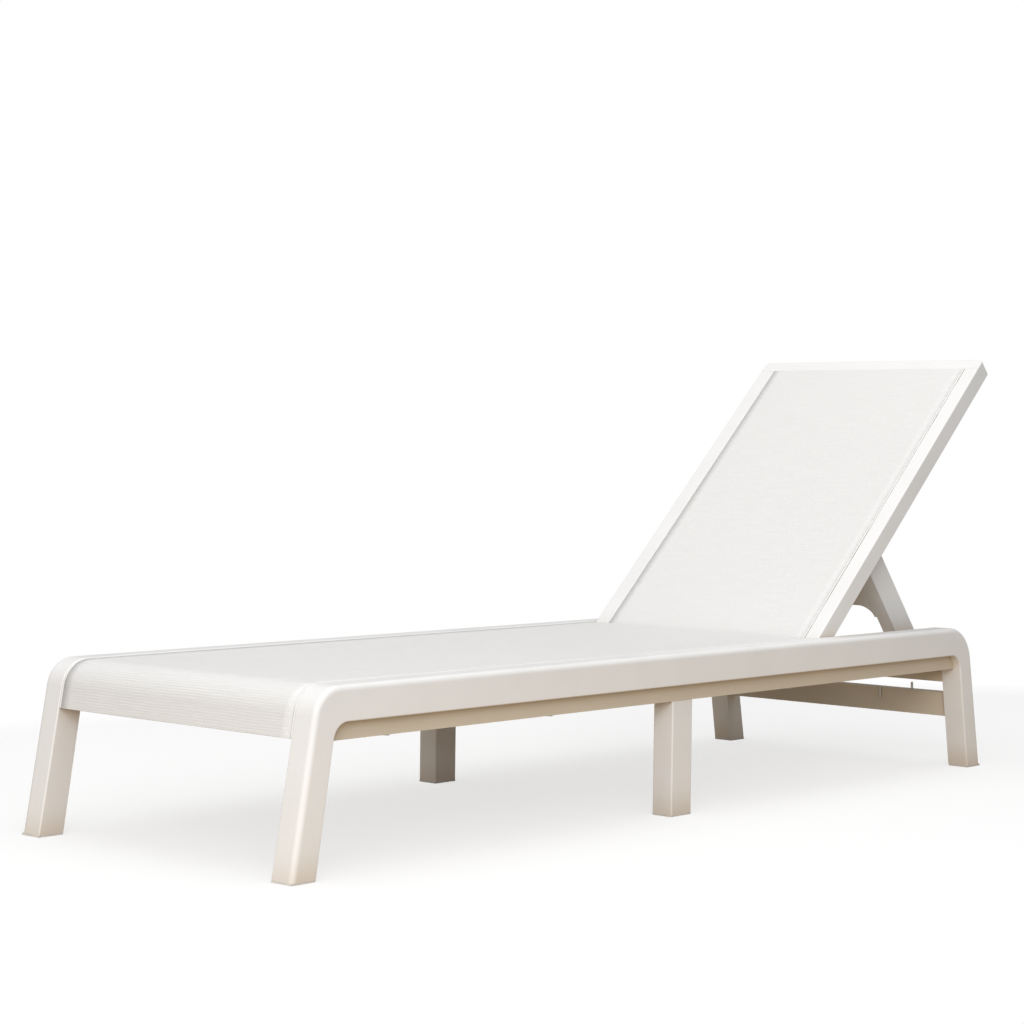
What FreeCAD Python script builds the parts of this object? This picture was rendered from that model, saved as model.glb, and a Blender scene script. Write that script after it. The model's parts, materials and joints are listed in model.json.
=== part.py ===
import FreeCAD, Part
import math
import os
import Sketcher

# Reclining sun lounger, millimetres, lying along X with the foot end at -X and the head end at +X.
# Z is up, the feet stand on z = 0, and the origin lies under the middle of the bounding box.
# Lengths along X are first worked out from the middle of the feet, then shifted by ORIGIN_X.

V = FreeCAD.Vector
LEFT, RIGHT = -1, 1
SIDES = (("left", LEFT), ("right", RIGHT))

SIZES = (
    ("overall_length", 1950, "outside of the front feet to outside of the rear feet"),
    ("overall_width", 648, "outside of the left frame to outside of the right frame"),
    ("rail_top", 290, "height of the top of the side frames"),
    ("rail_depth", 56, "height of a side frame's top rail"),
    ("leg_width", 45, "side frame and leg, across the lounger"),
    ("leg_depth_floor", 50, "splayed leg along X at the floor"),
    ("leg_depth_top", 46, "splayed leg along X where it meets the rail"),
    ("splay_run", 53.3, "how far a leg leans in over the full height"),
    ("corner_front", 52, "outer bend between front leg and rail"),
    ("corner_rear", 76, "outer bend between rear leg and rail"),
    ("corner_inner", 30, "inner bend between leg and rail"),
    ("edge_round", 9, "rounding of the side frame's outer edge"),
    ("edge_soft", 2.5, "rounding of the other long edges"),
    ("frame_wall", 4.5, "moulded wall of the side frames and middle legs"),
    ("fit_gap", 0.3, "clearance between neighbouring pieces"),
    ("foot_pad_thick", 4, "sole of a foot"),
    ("foot_plug_tall", 18, "plug of a foot inside its leg"),
    ("foot_margin", 0.5, "sole of a foot, in from the leg all round"),
    ("foot_root", 1, "overlap of a foot's sole and plug"),
    ("inner_rail_wide", 22, "inner rail, across the lounger"),
    ("inner_rail_wall", 5, "web and rims of the inner rail"),
    ("inner_rail_bottom", 205, "height of the underside of the inner rail"),
    ("inner_rail_rear_top", 244, "height of the inner rail behind the hinge"),
    ("ledge_inset", 16, "ledge of the inner rail, back from the outside of the side frame"),
    ("hem_cover", 2, "front end of the inner rail above the hem"),
    ("middle_leg_along", 57, "middle leg along X"),
    ("middle_leg_across", 43, "middle leg across the lounger"),
    ("middle_leg_place", -18, "middle legs, along X"),
    ("sling_drop", 2, "seat fabric below the top of the side frame"),
    ("sling_thick", 2, "fabric with its coating"),
    ("bead_wide", 4, "edge bead of the fabric, across"),
    ("hem_height", 210, "lower edge of the fabric at the foot end"),
    ("seat_end", 428, "rear edge of the seat fabric, along X"),
    ("bar_wall", 3, "wall of the cross bars"),
    ("front_bar_along", 34, "front bar along X"),
    ("front_bar_tall", 22, "front bar, height"),
    ("front_bar_drop", 3, "front bar below the start of the fabric's bend"),
    ("seat_bar_along", 40, "seat bars along X"),
    ("seat_bar_tall", 28, "seat bars, height"),
    ("seat_bar_place", 430, "front seat bar ahead of the middle legs"),
    ("end_bar_along", 34, "bar under the rear edge of the seat, along X"),
    ("end_bar_tall", 36, "bar under the rear edge of the seat, height"),
    ("end_bar_drop", 2, "bar under the rear edge of the seat, below the fabric"),
    ("rear_bar_along", 29, "rear bar along X"),
    ("rear_bar_tall", 29, "rear bar, height"),
    ("stretcher_low", 103, "height of the underside of the rear stretcher"),
    ("stretcher_tall", 49, "rear stretcher, height"),
    ("stretcher_along", 27, "rear stretcher along X"),
    ("stud_radius", 2.5, "studs at the stretcher"),
    ("stud_outer", 190, "outer stud, left of the middle"),
    ("stud_inner", 118, "inner stud, left of the middle"),
    ("stud_rise", 3, "inner stud above the stretcher"),
    ("stud_tall", 15, "outer stud, height"),
    ("hinge_place", 450, "hinge axis of the back, along X"),
    ("hinge_below", 14, "hinge axis below the fabric's top face"),
    ("hinge_pin_radius", 5, "hinge pin"),
    ("running_gap", 0.06, "radial clearance of a pin in its bush"),
    ("bush_wall", 2.5, "wall of a bush"),
    ("lug_radius", 8.5, "hinge lug about its axis"),
    ("lug_thick", 6, "hinge lug, across"),
    ("lug_gap", 1.5, "hinge lug to the back rail beside it"),
    ("bracket_reach", 3, "foot of the hinge bracket beyond its lug, each way"),
    ("bracket_drop", 1.5, "foot of the hinge bracket below the top of the inner rail"),
    ("bracket_low", 1, "hinge bracket above the underside of the inner rail"),
    ("pin_head_wide", 3, "head of a pin beyond its shank"),
    ("pin_head_thick", 3, "head of a pin"),
    ("bush_short", 0.6, "bush shorter than the rail or leg that holds it"),
    ("recline_angle", 43.2, "back above the horizontal as it stands"),
    ("back_length", 819, "hinge axis to the top end of the back"),
    ("back_gap", 1.5, "back frame to side frame, each side"),
    ("back_rail_wide", 32, "back rail, across"),
    ("back_rail_deep", 37.5, "back rail, front face to rear face"),
    ("back_rail_wall", 3, "wall of the back rails"),
    ("back_tail", 13, "back rail below the hinge axis"),
    ("top_rail_wide", 30, "top rail of the back, along the back"),
    ("top_corner", 11, "rounded corner of the top rail"),
    ("end_cap_thick", 2.4, "cap at the lower end of a back rail"),
    ("end_cap_plug", 3, "plug of that cap inside the rail"),
    ("back_sling_start", -8, "lower edge of the back fabric from the hinge"),
    ("back_sling_drop", 3, "back fabric below the front face of its rails"),
    ("back_bar_low", 30, "lower bar of the back from the hinge"),
    ("back_bar_high", 174, "upper bar of the back from the top end of the back"),
    ("back_bar_wide", 24, "bars of the back, along the back"),
    ("back_bar_deep", 20, "bars of the back, front to rear"),
    ("back_bar_inset", 1, "bars of the back, in from the rear face of its rails"),
    ("prop_pivot_up", 315, "prop pivot from the hinge, along the back"),
    ("prop_pivot_in", 5, "prop pivot behind the hinge axis's plane"),
    ("foot_bar_place", 862, "foot bar of the prop as it stands, along X"),
    ("foot_bar_high", 239.5, "height of the foot bar as it stands"),
    ("folded_lean", 2.3, "prop below the horizontal when the back is flat"),
    ("prop_front", 45, "prop leg, pivot to its front face"),
    ("prop_rear", 9.5, "prop leg, pivot to its rear face"),
    ("prop_leg_wide", 31, "prop leg, across"),
    ("prop_leg_wall", 4, "walls of the prop legs"),
    ("prop_leg_inset", 94, "outside of a prop leg from the outside of the side frame"),
    ("prop_end", 12, "prop leg beyond the foot bar"),
    ("prop_pin_radius", 4, "prop pivot pin"),
    ("prop_pin_inset", 1, "inner end of the prop pin, in from the prop leg's face"),
    ("web_thick", 9, "arched web of the prop"),
    ("web_start", 22, "upper edge of the web from the pivot"),
    ("web_arch", 160, "top of the arch from the pivot"),
    ("web_haunch", 30, "haunches of the arch beyond its top"),
    ("web_haunch_wide", 5, "haunches of the arch, across"),
    ("web_arch_round", 28, "rounded corners of the arch"),
    ("foot_bar_radius", 6, "foot bar of the prop"),
    ("foot_bar_short", 2, "foot bar short of the inner rails, each end"),
    ("rack_wide", 15, "rack, across"),
    ("rack_bottom", 208, "height of the underside of the rack"),
    ("rack_gap", 1.5, "foot bar above the teeth as it passes"),
    ("rack_notch_deep", 5, "depth of a notch"),
    ("rack_notch_half", 8, "half the width of a notch"),
    ("rack_notch_slope", 2, "notch narrower at its bottom, each side"),
    ("rack_end", 20, "rack beyond its outermost notches"),
    ("buffer_place", 720, "middle of the buffers under the folded back, along X"),
    ("buffer_along", 40, "buffers along X"),
    ("buffer_margin", 2, "buffer narrower than the inner rail, each side"),
    ("notch_step", 7.5, "change of the back's angle from notch to notch"),
    ("screw_radius", 2.5, "shank of a frame screw"),
    ("screw_head_radius", 5, "head of a frame screw"),
    ("screw_head_thick", 3, "head of a frame screw"),
    ("screw_gap", 0.2, "radial clearance of a screw in its hole"),
    ("seat_gap", 0.1, "gap under a head, a sole or a cap that rests on another piece"),
)

doc = FreeCAD.newDocument("SunLounger")
sheet = doc.addObject("Spreadsheet::Sheet", "Sizes")
for row, (alias, value, note) in enumerate(SIZES, start=1):
    sheet.set(f"A{row}", note)
    sheet.set(f"B{row}", str(value))
    sheet.setAlias(f"B{row}", alias)
doc.recompute()


class Dim:
    """A size as a number and as the expression that ties a feature to the sheet."""

    def __init__(self, value, text):
        self.value = value
        self.text = text

    def __add__(self, other):
        other = dim(other)
        return Dim(self.value + other.value, f"({self.text} + {other.text})")

    def __sub__(self, other):
        other = dim(other)
        return Dim(self.value - other.value, f"({self.text} - {other.text})")

    def __mul__(self, other):
        other = dim(other)
        return Dim(self.value * other.value, f"({self.text} * {other.text})")

    def __truediv__(self, other):
        other = dim(other)
        return Dim(self.value / other.value, f"({self.text} / {other.text})")

    def __neg__(self):
        return Dim(-self.value, f"(0 - {self.text})")

    def __radd__(self, other):
        return dim(other) + self

    def __rsub__(self, other):
        return dim(other) - self

    def __rmul__(self, other):
        return dim(other) * self


def dim(number):
    """A plain number as a Dim; a Dim stays as it is."""
    if isinstance(number, Dim):
        return number
    return Dim(float(number), f"({float(number)!r})")


def size(alias):
    """The size of that name in the sheet."""
    return Dim(float(sheet.get(alias)), f"Sizes.{alias}")


def cosine(angle):
    """Cosine of an angle in degrees."""
    return Dim(math.cos(math.radians(angle.value)), f"cos({angle.text})")


def sine(angle):
    """Sine of an angle in degrees."""
    return Dim(math.sin(math.radians(angle.value)), f"sin({angle.text})")


def root(number):
    """Square root."""
    return Dim(math.sqrt(number.value), f"sqrt({number.text})")


def slant(run, rise):
    """Angle in degrees of a line that runs and rises so far."""
    return Dim(math.degrees(math.atan2(rise.value, run.value)),
               f"(atan2({rise.text}; {run.text}) / 1deg)")


def derive(alias, number, note):
    """Keep a size worked out from the others in the sheet, under its own name."""
    row = len(SIZES) + 2
    while sheet.getContents(f"B{row}"):
        row += 1
    sheet.set(f"A{row}", note)
    sheet.set(f"B{row}", "=" + number.text.replace("Sizes.", ""))
    sheet.setAlias(f"B{row}", alias)
    doc.recompute()


# ---- sizes that follow from the sheet -------------------------------------------------------

HALF_LENGTH = size("overall_length") / 2
HALF_WIDTH = size("overall_width") / 2
TOP = size("rail_top")
RAIL_BOTTOM = TOP - size("rail_depth")
GAP = size("fit_gap")
SOLE = size("foot_pad_thick")
SLOPE_OUT = size("splay_run") / TOP
TOUCH = size("seat_gap")
SLOPE_IN = (SLOPE_OUT * RAIL_BOTTOM + size("leg_depth_top") - size("leg_depth_floor")) / RAIL_BOTTOM
SLING_TOP = TOP - size("sling_drop")
SLING_UNDER = SLING_TOP - size("sling_thick")
RAIL_FACE = size("leg_width") + GAP
RAIL_INNER = RAIL_FACE + size("inner_rail_wide")
BETWEEN_RAILS = HALF_WIDTH - RAIL_INNER - GAP
BETWEEN_FRAMES = HALF_WIDTH - RAIL_FACE
HINGE_X = size("hinge_place")
HINGE_Z = SLING_TOP - size("hinge_below")
TILT = size("recline_angle")
BACK_HALF = HALF_WIDTH - size("leg_width") - size("back_gap")
BACK_INNER = BACK_HALF - size("back_rail_wide")
BACK_FACE = size("hinge_below")
BACK_REAR = BACK_FACE - size("back_rail_deep")
BACK_MIDDLE = (BACK_FACE + BACK_REAR) / 2
TOP_RAIL_START = size("back_length") - size("top_rail_wide")
STRETCHER_MIDDLE_Z = size("stretcher_low") + size("stretcher_tall") / 2
BACK_SLING_TOP = BACK_FACE - size("back_sling_drop")
PROP_OUTER = HALF_WIDTH - size("prop_leg_inset")
PROP_INNER = PROP_OUTER - size("prop_leg_wide")
PROP_CENTRE = (size("prop_rear") - size("prop_front")) / 2

# The rounded top edge of the tilted back is the rearmost point of the whole lounger.
TIP_X = (HINGE_X + (size("back_length") - size("edge_soft")) * cosine(TILT)
         - (BACK_REAR + size("edge_soft")) * sine(TILT) + size("edge_soft"))
ORIGIN_X = (TIP_X - HALF_LENGTH) / 2


def leg_outer(height, inset=0):
    """Distance of a leg's outer line from the middle of the feet, at a height."""
    return HALF_LENGTH - inset - SLOPE_OUT * height


def leg_inner(height, inset=0):
    """Distance of a leg's inner line from the middle of the feet, at a height."""
    return HALF_LENGTH - size("leg_depth_floor") + inset - SLOPE_IN * height


def pivot_at(tilt):
    """Prop pivot (x, z) when the back stands at that angle."""
    up = size("prop_pivot_up")
    rear = size("prop_pivot_in")
    return (HINGE_X + up * cosine(tilt) + rear * sine(tilt),
            HINGE_Z + up * sine(tilt) - rear * cosine(tilt))


def derive_prop():
    """Length, lean and turn of the prop, from the places of its pivot and foot bar.

    The foot bar lies on the middle line of the plank, PROP_CENTRE off the line through the pivot.
    """
    pivot_x, pivot_z = pivot_at(TILT)
    run, drop = size("foot_bar_place") - pivot_x, pivot_z - size("foot_bar_high")
    derive("prop_run", run, "prop pivot to the foot bar, along X")
    derive("prop_drop", drop, "prop pivot to the foot bar, downwards")
    run, drop = size("prop_run"), size("prop_drop")
    derive("prop_length", root(run * run + drop * drop - PROP_CENTRE * PROP_CENTRE),
           "prop pivot to the foot bar, along the plank")
    derive("prop_lean", slant(run, drop) - slant(size("prop_length"), -PROP_CENTRE),
           "prop below the horizontal as it stands")
    derive("prop_ratio", (TILT + size("prop_lean") - size("folded_lean")) / TILT,
           "turn of the prop for each turn of the back")


def foot_bar_at(tilt):
    """Foot bar (x, z) when the back stands at that angle and the prop turns with it."""
    lean = TILT + size("prop_lean") - size("prop_ratio") * (TILT - tilt) - tilt
    pivot_x, pivot_z = pivot_at(tilt)
    reach = size("prop_length")
    return (pivot_x + reach * cosine(lean) + PROP_CENTRE * sine(lean),
            pivot_z - reach * sine(lean) + PROP_CENTRE * cosine(lean))


derive_prop()


# ---- helpers --------------------------------------------------------------------------------

parts = []


def new_body(label, x=0, y=0, z=0, turn=0, axis=V(0, -1, 0)):
    """A PartDesign body placed at (x, y, z) and turned about an axis through its own origin."""
    body = doc.addObject("PartDesign::Body", label)
    body.Label = label
    x, y, z, turn = dim(x) - ORIGIN_X, dim(y), dim(z), dim(turn)
    body.Placement = FreeCAD.Placement(V(x.value, y.value, z.value),
                                       FreeCAD.Rotation(axis, turn.value))
    for path, value in (("Base.x", x), ("Base.y", y), ("Base.z", z)):
        body.setExpression(f"Placement.{path}", value.text)
    if turn.value:
        body.setExpression("Placement.Rotation.Angle", turn.text)
    parts.append(body)
    return body


def back_body(label, y=0):
    """A body in the back's own frame: X up along the back, Z out of its front face."""
    return new_body(label, HINGE_X, y, HINGE_Z, TILT)


def prop_body(label, y=0):
    """A body in the prop's own frame: X from the pivot to the foot bar, Z to the rear."""
    pivot_x, pivot_z = pivot_at(TILT)
    return new_body(label, pivot_x, y, pivot_z, size("prop_lean"), V(0, 1, 0))


def new_sketch(body, name, role, offset=0):
    """A sketch on one of the body's origin planes, moved along the plane's normal."""
    offset = dim(offset)
    sketch = body.newObject("Sketcher::SketchObject", name)
    plane = [f for f in body.Origin.OriginFeatures if f.Role == role][0]
    sketch.AttachmentSupport = [(plane, "")]
    sketch.MapMode = "FlatFace"
    sketch.AttachmentOffset = FreeCAD.Placement(V(0, 0, offset.value), FreeCAD.Rotation())
    sketch.setExpression("AttachmentOffset.Base.z", offset.text)
    return sketch


def tie(sketch, constraint, value):
    """Add a sketch constraint and bind its value to the sheet."""
    index = sketch.addConstraint(constraint)
    sketch.setExpression(f"Constraints[{index}]", value.text)


def add_loop(sketch, corners):
    """Closed outline through corners (x, y) or (x, y, radius), round corners as tangent arcs."""
    corners = [tuple(dim(part) for part in corner) for corner in corners]
    points = [V(corner[0].value, corner[1].value, 0) for corner in corners]
    count = len(corners)
    entries, exits, arcs = list(points), list(points), {}
    for i, corner in enumerate(corners):
        if len(corner) < 3:
            continue
        radius = corner[2].value
        back = (points[i - 1] - points[i]).normalize()
        ahead = (points[(i + 1) % count] - points[i]).normalize()
        half = back.getAngle(ahead) / 2
        entries[i] = points[i] + back * (radius / math.tan(half))
        exits[i] = points[i] + ahead * (radius / math.tan(half))
        centre = points[i] + (back + ahead).normalize() * (radius / math.sin(half))
        left_turn = back.cross(ahead).z < 0
        start, end = (entries[i], exits[i]) if left_turn else (exits[i], entries[i])
        begin = math.atan2(start.y - centre.y, start.x - centre.x)
        finish = math.atan2(end.y - centre.y, end.x - centre.x)
        circle = Part.Circle(centre, V(0, 0, 1), radius)
        arcs[i] = (Part.ArcOfCircle(circle, begin, finish), left_turn)
    first = sketch.GeometryCount
    lines = [first + i for i in range(count)]
    for i in range(count):
        sketch.addGeometry(Part.LineSegment(exits[i], entries[(i + 1) % count]), False)
    for i, corner in enumerate(corners):
        before, after = lines[i - 1], lines[i]
        if i not in arcs:
            sketch.addConstraint(Sketcher.Constraint("Coincident", before, 2, after, 1))
            tie(sketch, Sketcher.Constraint("DistanceX", -1, 1, after, 1, points[i].x), corner[0])
            tie(sketch, Sketcher.Constraint("DistanceY", -1, 1, after, 1, points[i].y), corner[1])
            continue
        arc_shape, left_turn = arcs[i]
        arc = sketch.addGeometry(arc_shape, False)
        mark = sketch.addGeometry(Part.Point(points[i]), True)
        tie(sketch, Sketcher.Constraint("DistanceX", -1, 1, mark, 1, points[i].x), corner[0])
        tie(sketch, Sketcher.Constraint("DistanceY", -1, 1, mark, 1, points[i].y), corner[1])
        sketch.addConstraint(Sketcher.Constraint("PointOnObject", mark, 1, before))
        sketch.addConstraint(Sketcher.Constraint("PointOnObject", mark, 1, after))
        into, out = (1, 2) if left_turn else (2, 1)
        sketch.addConstraint(Sketcher.Constraint("Tangent", before, 2, arc, into))
        sketch.addConstraint(Sketcher.Constraint("Tangent", arc, out, after, 1))
        tie(sketch, Sketcher.Constraint("Radius", arc, corner[2].value), corner[2])


def add_box(sketch, left, right, low, high):
    """Rectangular outline."""
    add_loop(sketch, ((left, low), (right, low), (right, high), (left, high)))


def add_circle(sketch, x, y, radius):
    """Circle about (x, y)."""
    x, y, radius = dim(x), dim(y), dim(radius)
    index = sketch.addGeometry(Part.Circle(V(x.value, y.value, 0), V(0, 0, 1), radius.value), False)
    tie(sketch, Sketcher.Constraint("DistanceX", -1, 1, index, 3, x.value), x)
    tie(sketch, Sketcher.Constraint("DistanceY", -1, 1, index, 3, y.value), y)
    tie(sketch, Sketcher.Constraint("Radius", index, radius.value), radius)


def extrude(body, kind, sketch, length):
    """Pad or pocket of a sketch, half of its length to each side."""
    length = dim(length)
    feature = body.newObject(f"PartDesign::{kind}", f"{kind}_{sketch.Name}")
    feature.Profile = sketch
    feature.SideType = "Symmetric"
    feature.Length = length.value
    feature.setExpression("Length", length.text)
    return feature


def pad(body, sketch, length):
    """Add a sketch's outline as a prism."""
    return extrude(body, "Pad", sketch, length)


def pocket(body, sketch, length):
    """Cut a sketch's outline out of the body."""
    return extrude(body, "Pocket", sketch, length)


def round_edges(body, radius, wanted):
    """Fillet the edges of the body that the test names."""
    doc.recompute()
    base = body.Tip
    names = [f"Edge{i}" for i, edge in enumerate(base.Shape.Edges, start=1) if wanted(edge)]
    fillet = body.newObject("PartDesign::Fillet", f"Round_{body.Name}")
    fillet.Base = (base, names)
    fillet.Radius = radius.value
    fillet.setExpression("Radius", radius.text)
    return fillet


def middle_of(edge):
    """Point halfway along an edge."""
    return edge.valueAt((edge.FirstParameter + edge.LastParameter) / 2)


def bar_across(body, outline, length, hollow=None):
    """Bar across the lounger from an XZ outline, hollow if an inner outline is given."""
    sketch = new_sketch(body, f"{body.Name}_section", "XZ_Plane")
    add_loop(sketch, outline)
    if hollow:
        add_loop(sketch, hollow)
    return pad(body, sketch, length)


def square(left, right, low, high):
    """Corners of a rectangle."""
    return ((left, low), (right, low), (right, high), (left, high))


def inside(left, right, low, high, wall):
    """Corners of a rectangle, one wall in from its sides."""
    return square(left + wall, right - wall, low + wall, high - wall)


def hole_across(body, x, z, radius, length):
    """Round hole across the body."""
    sketch = new_sketch(body, f"{body.Name}_hole_{len(body.Group)}", "XZ_Plane")
    add_circle(sketch, x, z, radius)
    return pocket(body, sketch, length)


def cylinders(label, places, radius_length_pairs, axis):
    """A group of like pins or screws, each a stack of coaxial cylinders fused together.

    places are (x, y, z) of each pin's start; radius_length_pairs are the stack along the axis.
    """
    pins = []
    for x, y, z in places:
        stack = []
        start = V(dim(x).value - ORIGIN_X.value, dim(y).value, dim(z).value)
        for radius, length in radius_length_pairs:
            stack.append(Part.makeCylinder(radius.value, length.value, start, axis))
            start = start + axis * length.value
        pins.append(stack[0].fuse(stack[1:]).removeSplitter() if len(stack) > 1 else stack[0])
    feature = doc.addObject("Part::Feature", label)
    feature.Label = label
    feature.Shape = Part.makeCompound(pins) if len(pins) > 1 else pins[0]
    parts.append(feature)
    return feature


def pin_across(label, x, z, stack, side, y):
    """One pin across the lounger, its stack of cylinders running outwards from y."""
    return cylinders(label, [(x, dim(y) * side, z)], stack, V(0, side, 0))


# ---- base: side frames, middle legs and feet ------------------------------------------------

SCREW_SPREAD = (-1.7, -0.8, 0.8, 1.7)  # screws from the middle leg, in steps of a seat bar
SCREW_PLACES = [size("middle_leg_place") + size("seat_bar_place") * share
                for share in SCREW_SPREAD]
SCREW_HOLE = size("screw_radius") + size("screw_gap")
LEDGE_MIDDLE = (size("ledge_inset") + RAIL_FACE) / 2


def portal(inset=0, foot=0):
    """Outline of a side frame: splayed leg, top rail and splayed leg, offset inwards."""
    low, high = TOP - inset, RAIL_BOTTOM + inset
    front_round, rear_round = size("corner_front") - inset, size("corner_rear") - inset
    inner_round = size("corner_inner") + inset
    return (
        (leg_outer(foot, inset), foot),
        (leg_outer(low, inset), low, rear_round),
        (-leg_outer(low, inset), low, front_round),
        (-leg_outer(foot, inset), foot),
        (-leg_inner(foot, inset), foot),
        (-leg_inner(high, inset), high, inner_round),
        (leg_inner(high, inset), high, inner_round),
        (leg_inner(foot, inset), foot),
    )


def make_side_frame(name, side):
    """Hollow portal of rail and two splayed legs, open at the feet for their plugs."""
    body = new_body(f"side_frame_{name}", 0, (HALF_WIDTH - size("leg_width") / 2) * side, 0)
    outline = new_sketch(body, f"{name}_portal", "XZ_Plane")
    add_loop(outline, portal(0, SOLE))
    pad(body, outline, size("leg_width"))
    half_wide = size("leg_width").value / 2
    rail_middle = (TOP.value + RAIL_BOTTOM.value) / 2

    def on_outline(edge, outwards, face_side):
        """Whether an edge runs along the outer outline on the given face."""
        point = middle_of(edge)
        centre_line = (leg_outer(dim(point.z)).value + leg_inner(dim(point.z)).value) / 2
        beyond = abs(point.x) > centre_line or point.z > rail_middle
        at_foot = point.z < SOLE.value + 1
        return (abs(point.y - face_side * half_wide) < 0.01 and not at_foot
                and beyond == outwards)

    round_edges(body, size("edge_round"), lambda edge: on_outline(edge, True, side))
    round_edges(body, size("edge_soft"), lambda edge: on_outline(edge, True, -side)
                or on_outline(edge, False, side))
    cavity = new_sketch(body, f"{name}_cavity", "XZ_Plane")
    add_loop(cavity, portal(size("frame_wall"), SOLE - 1))
    pocket(body, cavity, size("leg_width") - size("frame_wall") * 2)
    holes = new_sketch(body, f"{name}_screw_holes", "XY_Plane", RAIL_BOTTOM)
    for place in SCREW_PLACES:
        add_circle(holes, place, (size("leg_width") / 2 - LEDGE_MIDDLE) * side, SCREW_HOLE)
    pocket(body, holes, size("frame_wall") * 4)


def make_end_foot(name, side, end_name, end):
    """Foot of a splayed leg: a sole and a plug that fits the leg's hollow."""
    body = new_body(f"{end_name}_foot_{name}", 0, (HALF_WIDTH - size("leg_width") / 2) * side, 0)
    margin = size("foot_margin")
    sole = new_sketch(body, f"{end_name}_{name}_sole", "XZ_Plane")
    add_loop(sole, ((leg_inner(0, margin) * end, 0), (leg_outer(0) * end, 0),
                    (leg_outer(SOLE, margin) * end, SOLE), (leg_inner(SOLE, margin) * end, SOLE)))
    pad(body, sole, size("leg_width") - margin * 2)
    wall = size("frame_wall") + GAP
    low, high = SOLE - size("foot_root"), SOLE + size("foot_plug_tall")
    plug = new_sketch(body, f"{end_name}_{name}_plug", "XZ_Plane")
    add_loop(plug, ((leg_inner(low, wall) * end, low), (leg_outer(low, wall) * end, low),
                    (leg_outer(high, wall) * end, high), (leg_inner(high, wall) * end, high)))
    pad(body, plug, size("leg_width") - wall * 2)


def make_middle_leg(name, side):
    """Upright square tube under the inner rail, with its foot."""
    across = HALF_WIDTH - size("ledge_inset") - size("middle_leg_across") / 2
    half_x, half_y = size("middle_leg_along") / 2, size("middle_leg_across") / 2
    wall = size("frame_wall")
    top = size("inner_rail_bottom") - GAP
    leg = new_body(f"middle_leg_{name}", size("middle_leg_place"), across * side, 0)
    ring = new_sketch(leg, f"{name}_leg_ring", "XY_Plane", (top + SOLE) / 2)
    soft = size("edge_soft")
    add_loop(ring, ((-half_x, -half_y, soft), (half_x, -half_y, soft),
                    (half_x, half_y, soft), (-half_x, half_y, soft)))
    add_loop(ring, inside(-half_x, half_x, -half_y, half_y, wall))
    pad(leg, ring, top - SOLE)
    foot = new_body(f"middle_foot_{name}", size("middle_leg_place"), across * side, 0)
    margin = size("foot_margin")
    sole = new_sketch(foot, f"{name}_middle_sole", "XY_Plane", SOLE / 2)
    add_loop(sole, inside(-half_x, half_x, -half_y, half_y, margin))
    pad(foot, sole, SOLE)
    plug = new_sketch(foot, f"{name}_middle_plug", "XY_Plane",
                      SOLE + size("foot_plug_tall") / 2 - size("foot_root"))
    add_loop(plug, inside(-half_x, half_x, -half_y, half_y, wall + GAP))
    pad(foot, plug, size("foot_plug_tall"))


# ---- base: inner rails, bars, racks and seat fabric -----------------------------------------

RAIL_SKIN = size("sling_drop") + size("sling_thick") + GAP
RAIL_TOP = TOP - RAIL_SKIN
RAIL_STEP = HINGE_X - size("back_tail") * 2 - size("bar_wall")
RAIL_REAR = leg_inner(RAIL_BOTTOM) + size("leg_depth_top") / 2


def front_corner(inset):
    """Upper front corner of anything that follows the side frame, offset inwards."""
    high = TOP - inset
    return (-leg_outer(high, inset), high, size("corner_front") - inset)


def rail_outline(inset):
    """Side view of an inner rail, offset inwards: raised over the hem, lowered behind the hinge."""
    low, rear_top = size("inner_rail_bottom") + inset, size("inner_rail_rear_top") - inset
    hem, skin = size("hem_height") + size("hem_cover") + inset, RAIL_SKIN + inset
    front_step = -leg_inner(hem) + inset
    return ((-leg_outer(hem, skin), hem), (front_step, hem), (front_step, low),
            (RAIL_REAR - inset, low), (RAIL_REAR - inset, rear_top),
            (RAIL_STEP - inset, rear_top), (RAIL_STEP - inset, RAIL_TOP - inset),
            front_corner(skin))


def make_inner_rail(name, side):
    """Moulded rail inside the frame: web and rims, with a ledge that carries the side frame."""
    wall, wide = size("inner_rail_wall"), size("inner_rail_wide")
    low, high = size("inner_rail_bottom"), RAIL_BOTTOM - GAP
    body = new_body(f"inner_rail_{name}", 0, HALF_WIDTH * side, 0)
    solid = new_sketch(body, f"{name}_rail", "XZ_Plane", (RAIL_FACE + wide / 2) * side)
    add_loop(solid, rail_outline(dim(0)))
    pad(body, solid, wide)
    tray = new_sketch(body, f"{name}_rail_tray", "XZ_Plane", (RAIL_INNER + wall) * side)
    add_loop(tray, rail_outline(wall))
    pocket(body, tray, wide * 2)

    def across(sketch_name, outline, start, end, cut):
        """Pad or cut an XZ outline between two distances from the outside of the frame."""
        sketch = new_sketch(body, sketch_name, "XZ_Plane", (start + end) / 2 * side)
        add_loop(sketch, outline)
        (pocket if cut else pad)(body, sketch, end - start)

    face, lip, root_y = size("ledge_inset"), size("ledge_inset") + wall, RAIL_FACE + wall / 2
    bend, under = size("corner_inner") - GAP, low - size("corner_inner")
    across(f"{name}_ledge", ((-leg_inner(under, -GAP), under), (leg_inner(under, -GAP), under),
                             (leg_inner(high, -GAP), high, bend),
                             (-leg_inner(high, -GAP), high, bend)), face, root_y, False)
    across(f"{name}_ledge_underside", square(-HALF_LENGTH, HALF_LENGTH, under - wall, low),
           face - wall, root_y + wall, True)
    across(f"{name}_ledge_channel", square(-HALF_LENGTH, HALF_LENGTH, low + wall, TOP),
           lip, RAIL_FACE, True)
    holes = new_sketch(body, f"{name}_ledge_holes", "XY_Plane", low)
    for place in SCREW_PLACES:
        add_circle(holes, place, LEDGE_MIDDLE * -side, SCREW_HOLE)
    pocket(body, holes, wall * 4)


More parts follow.
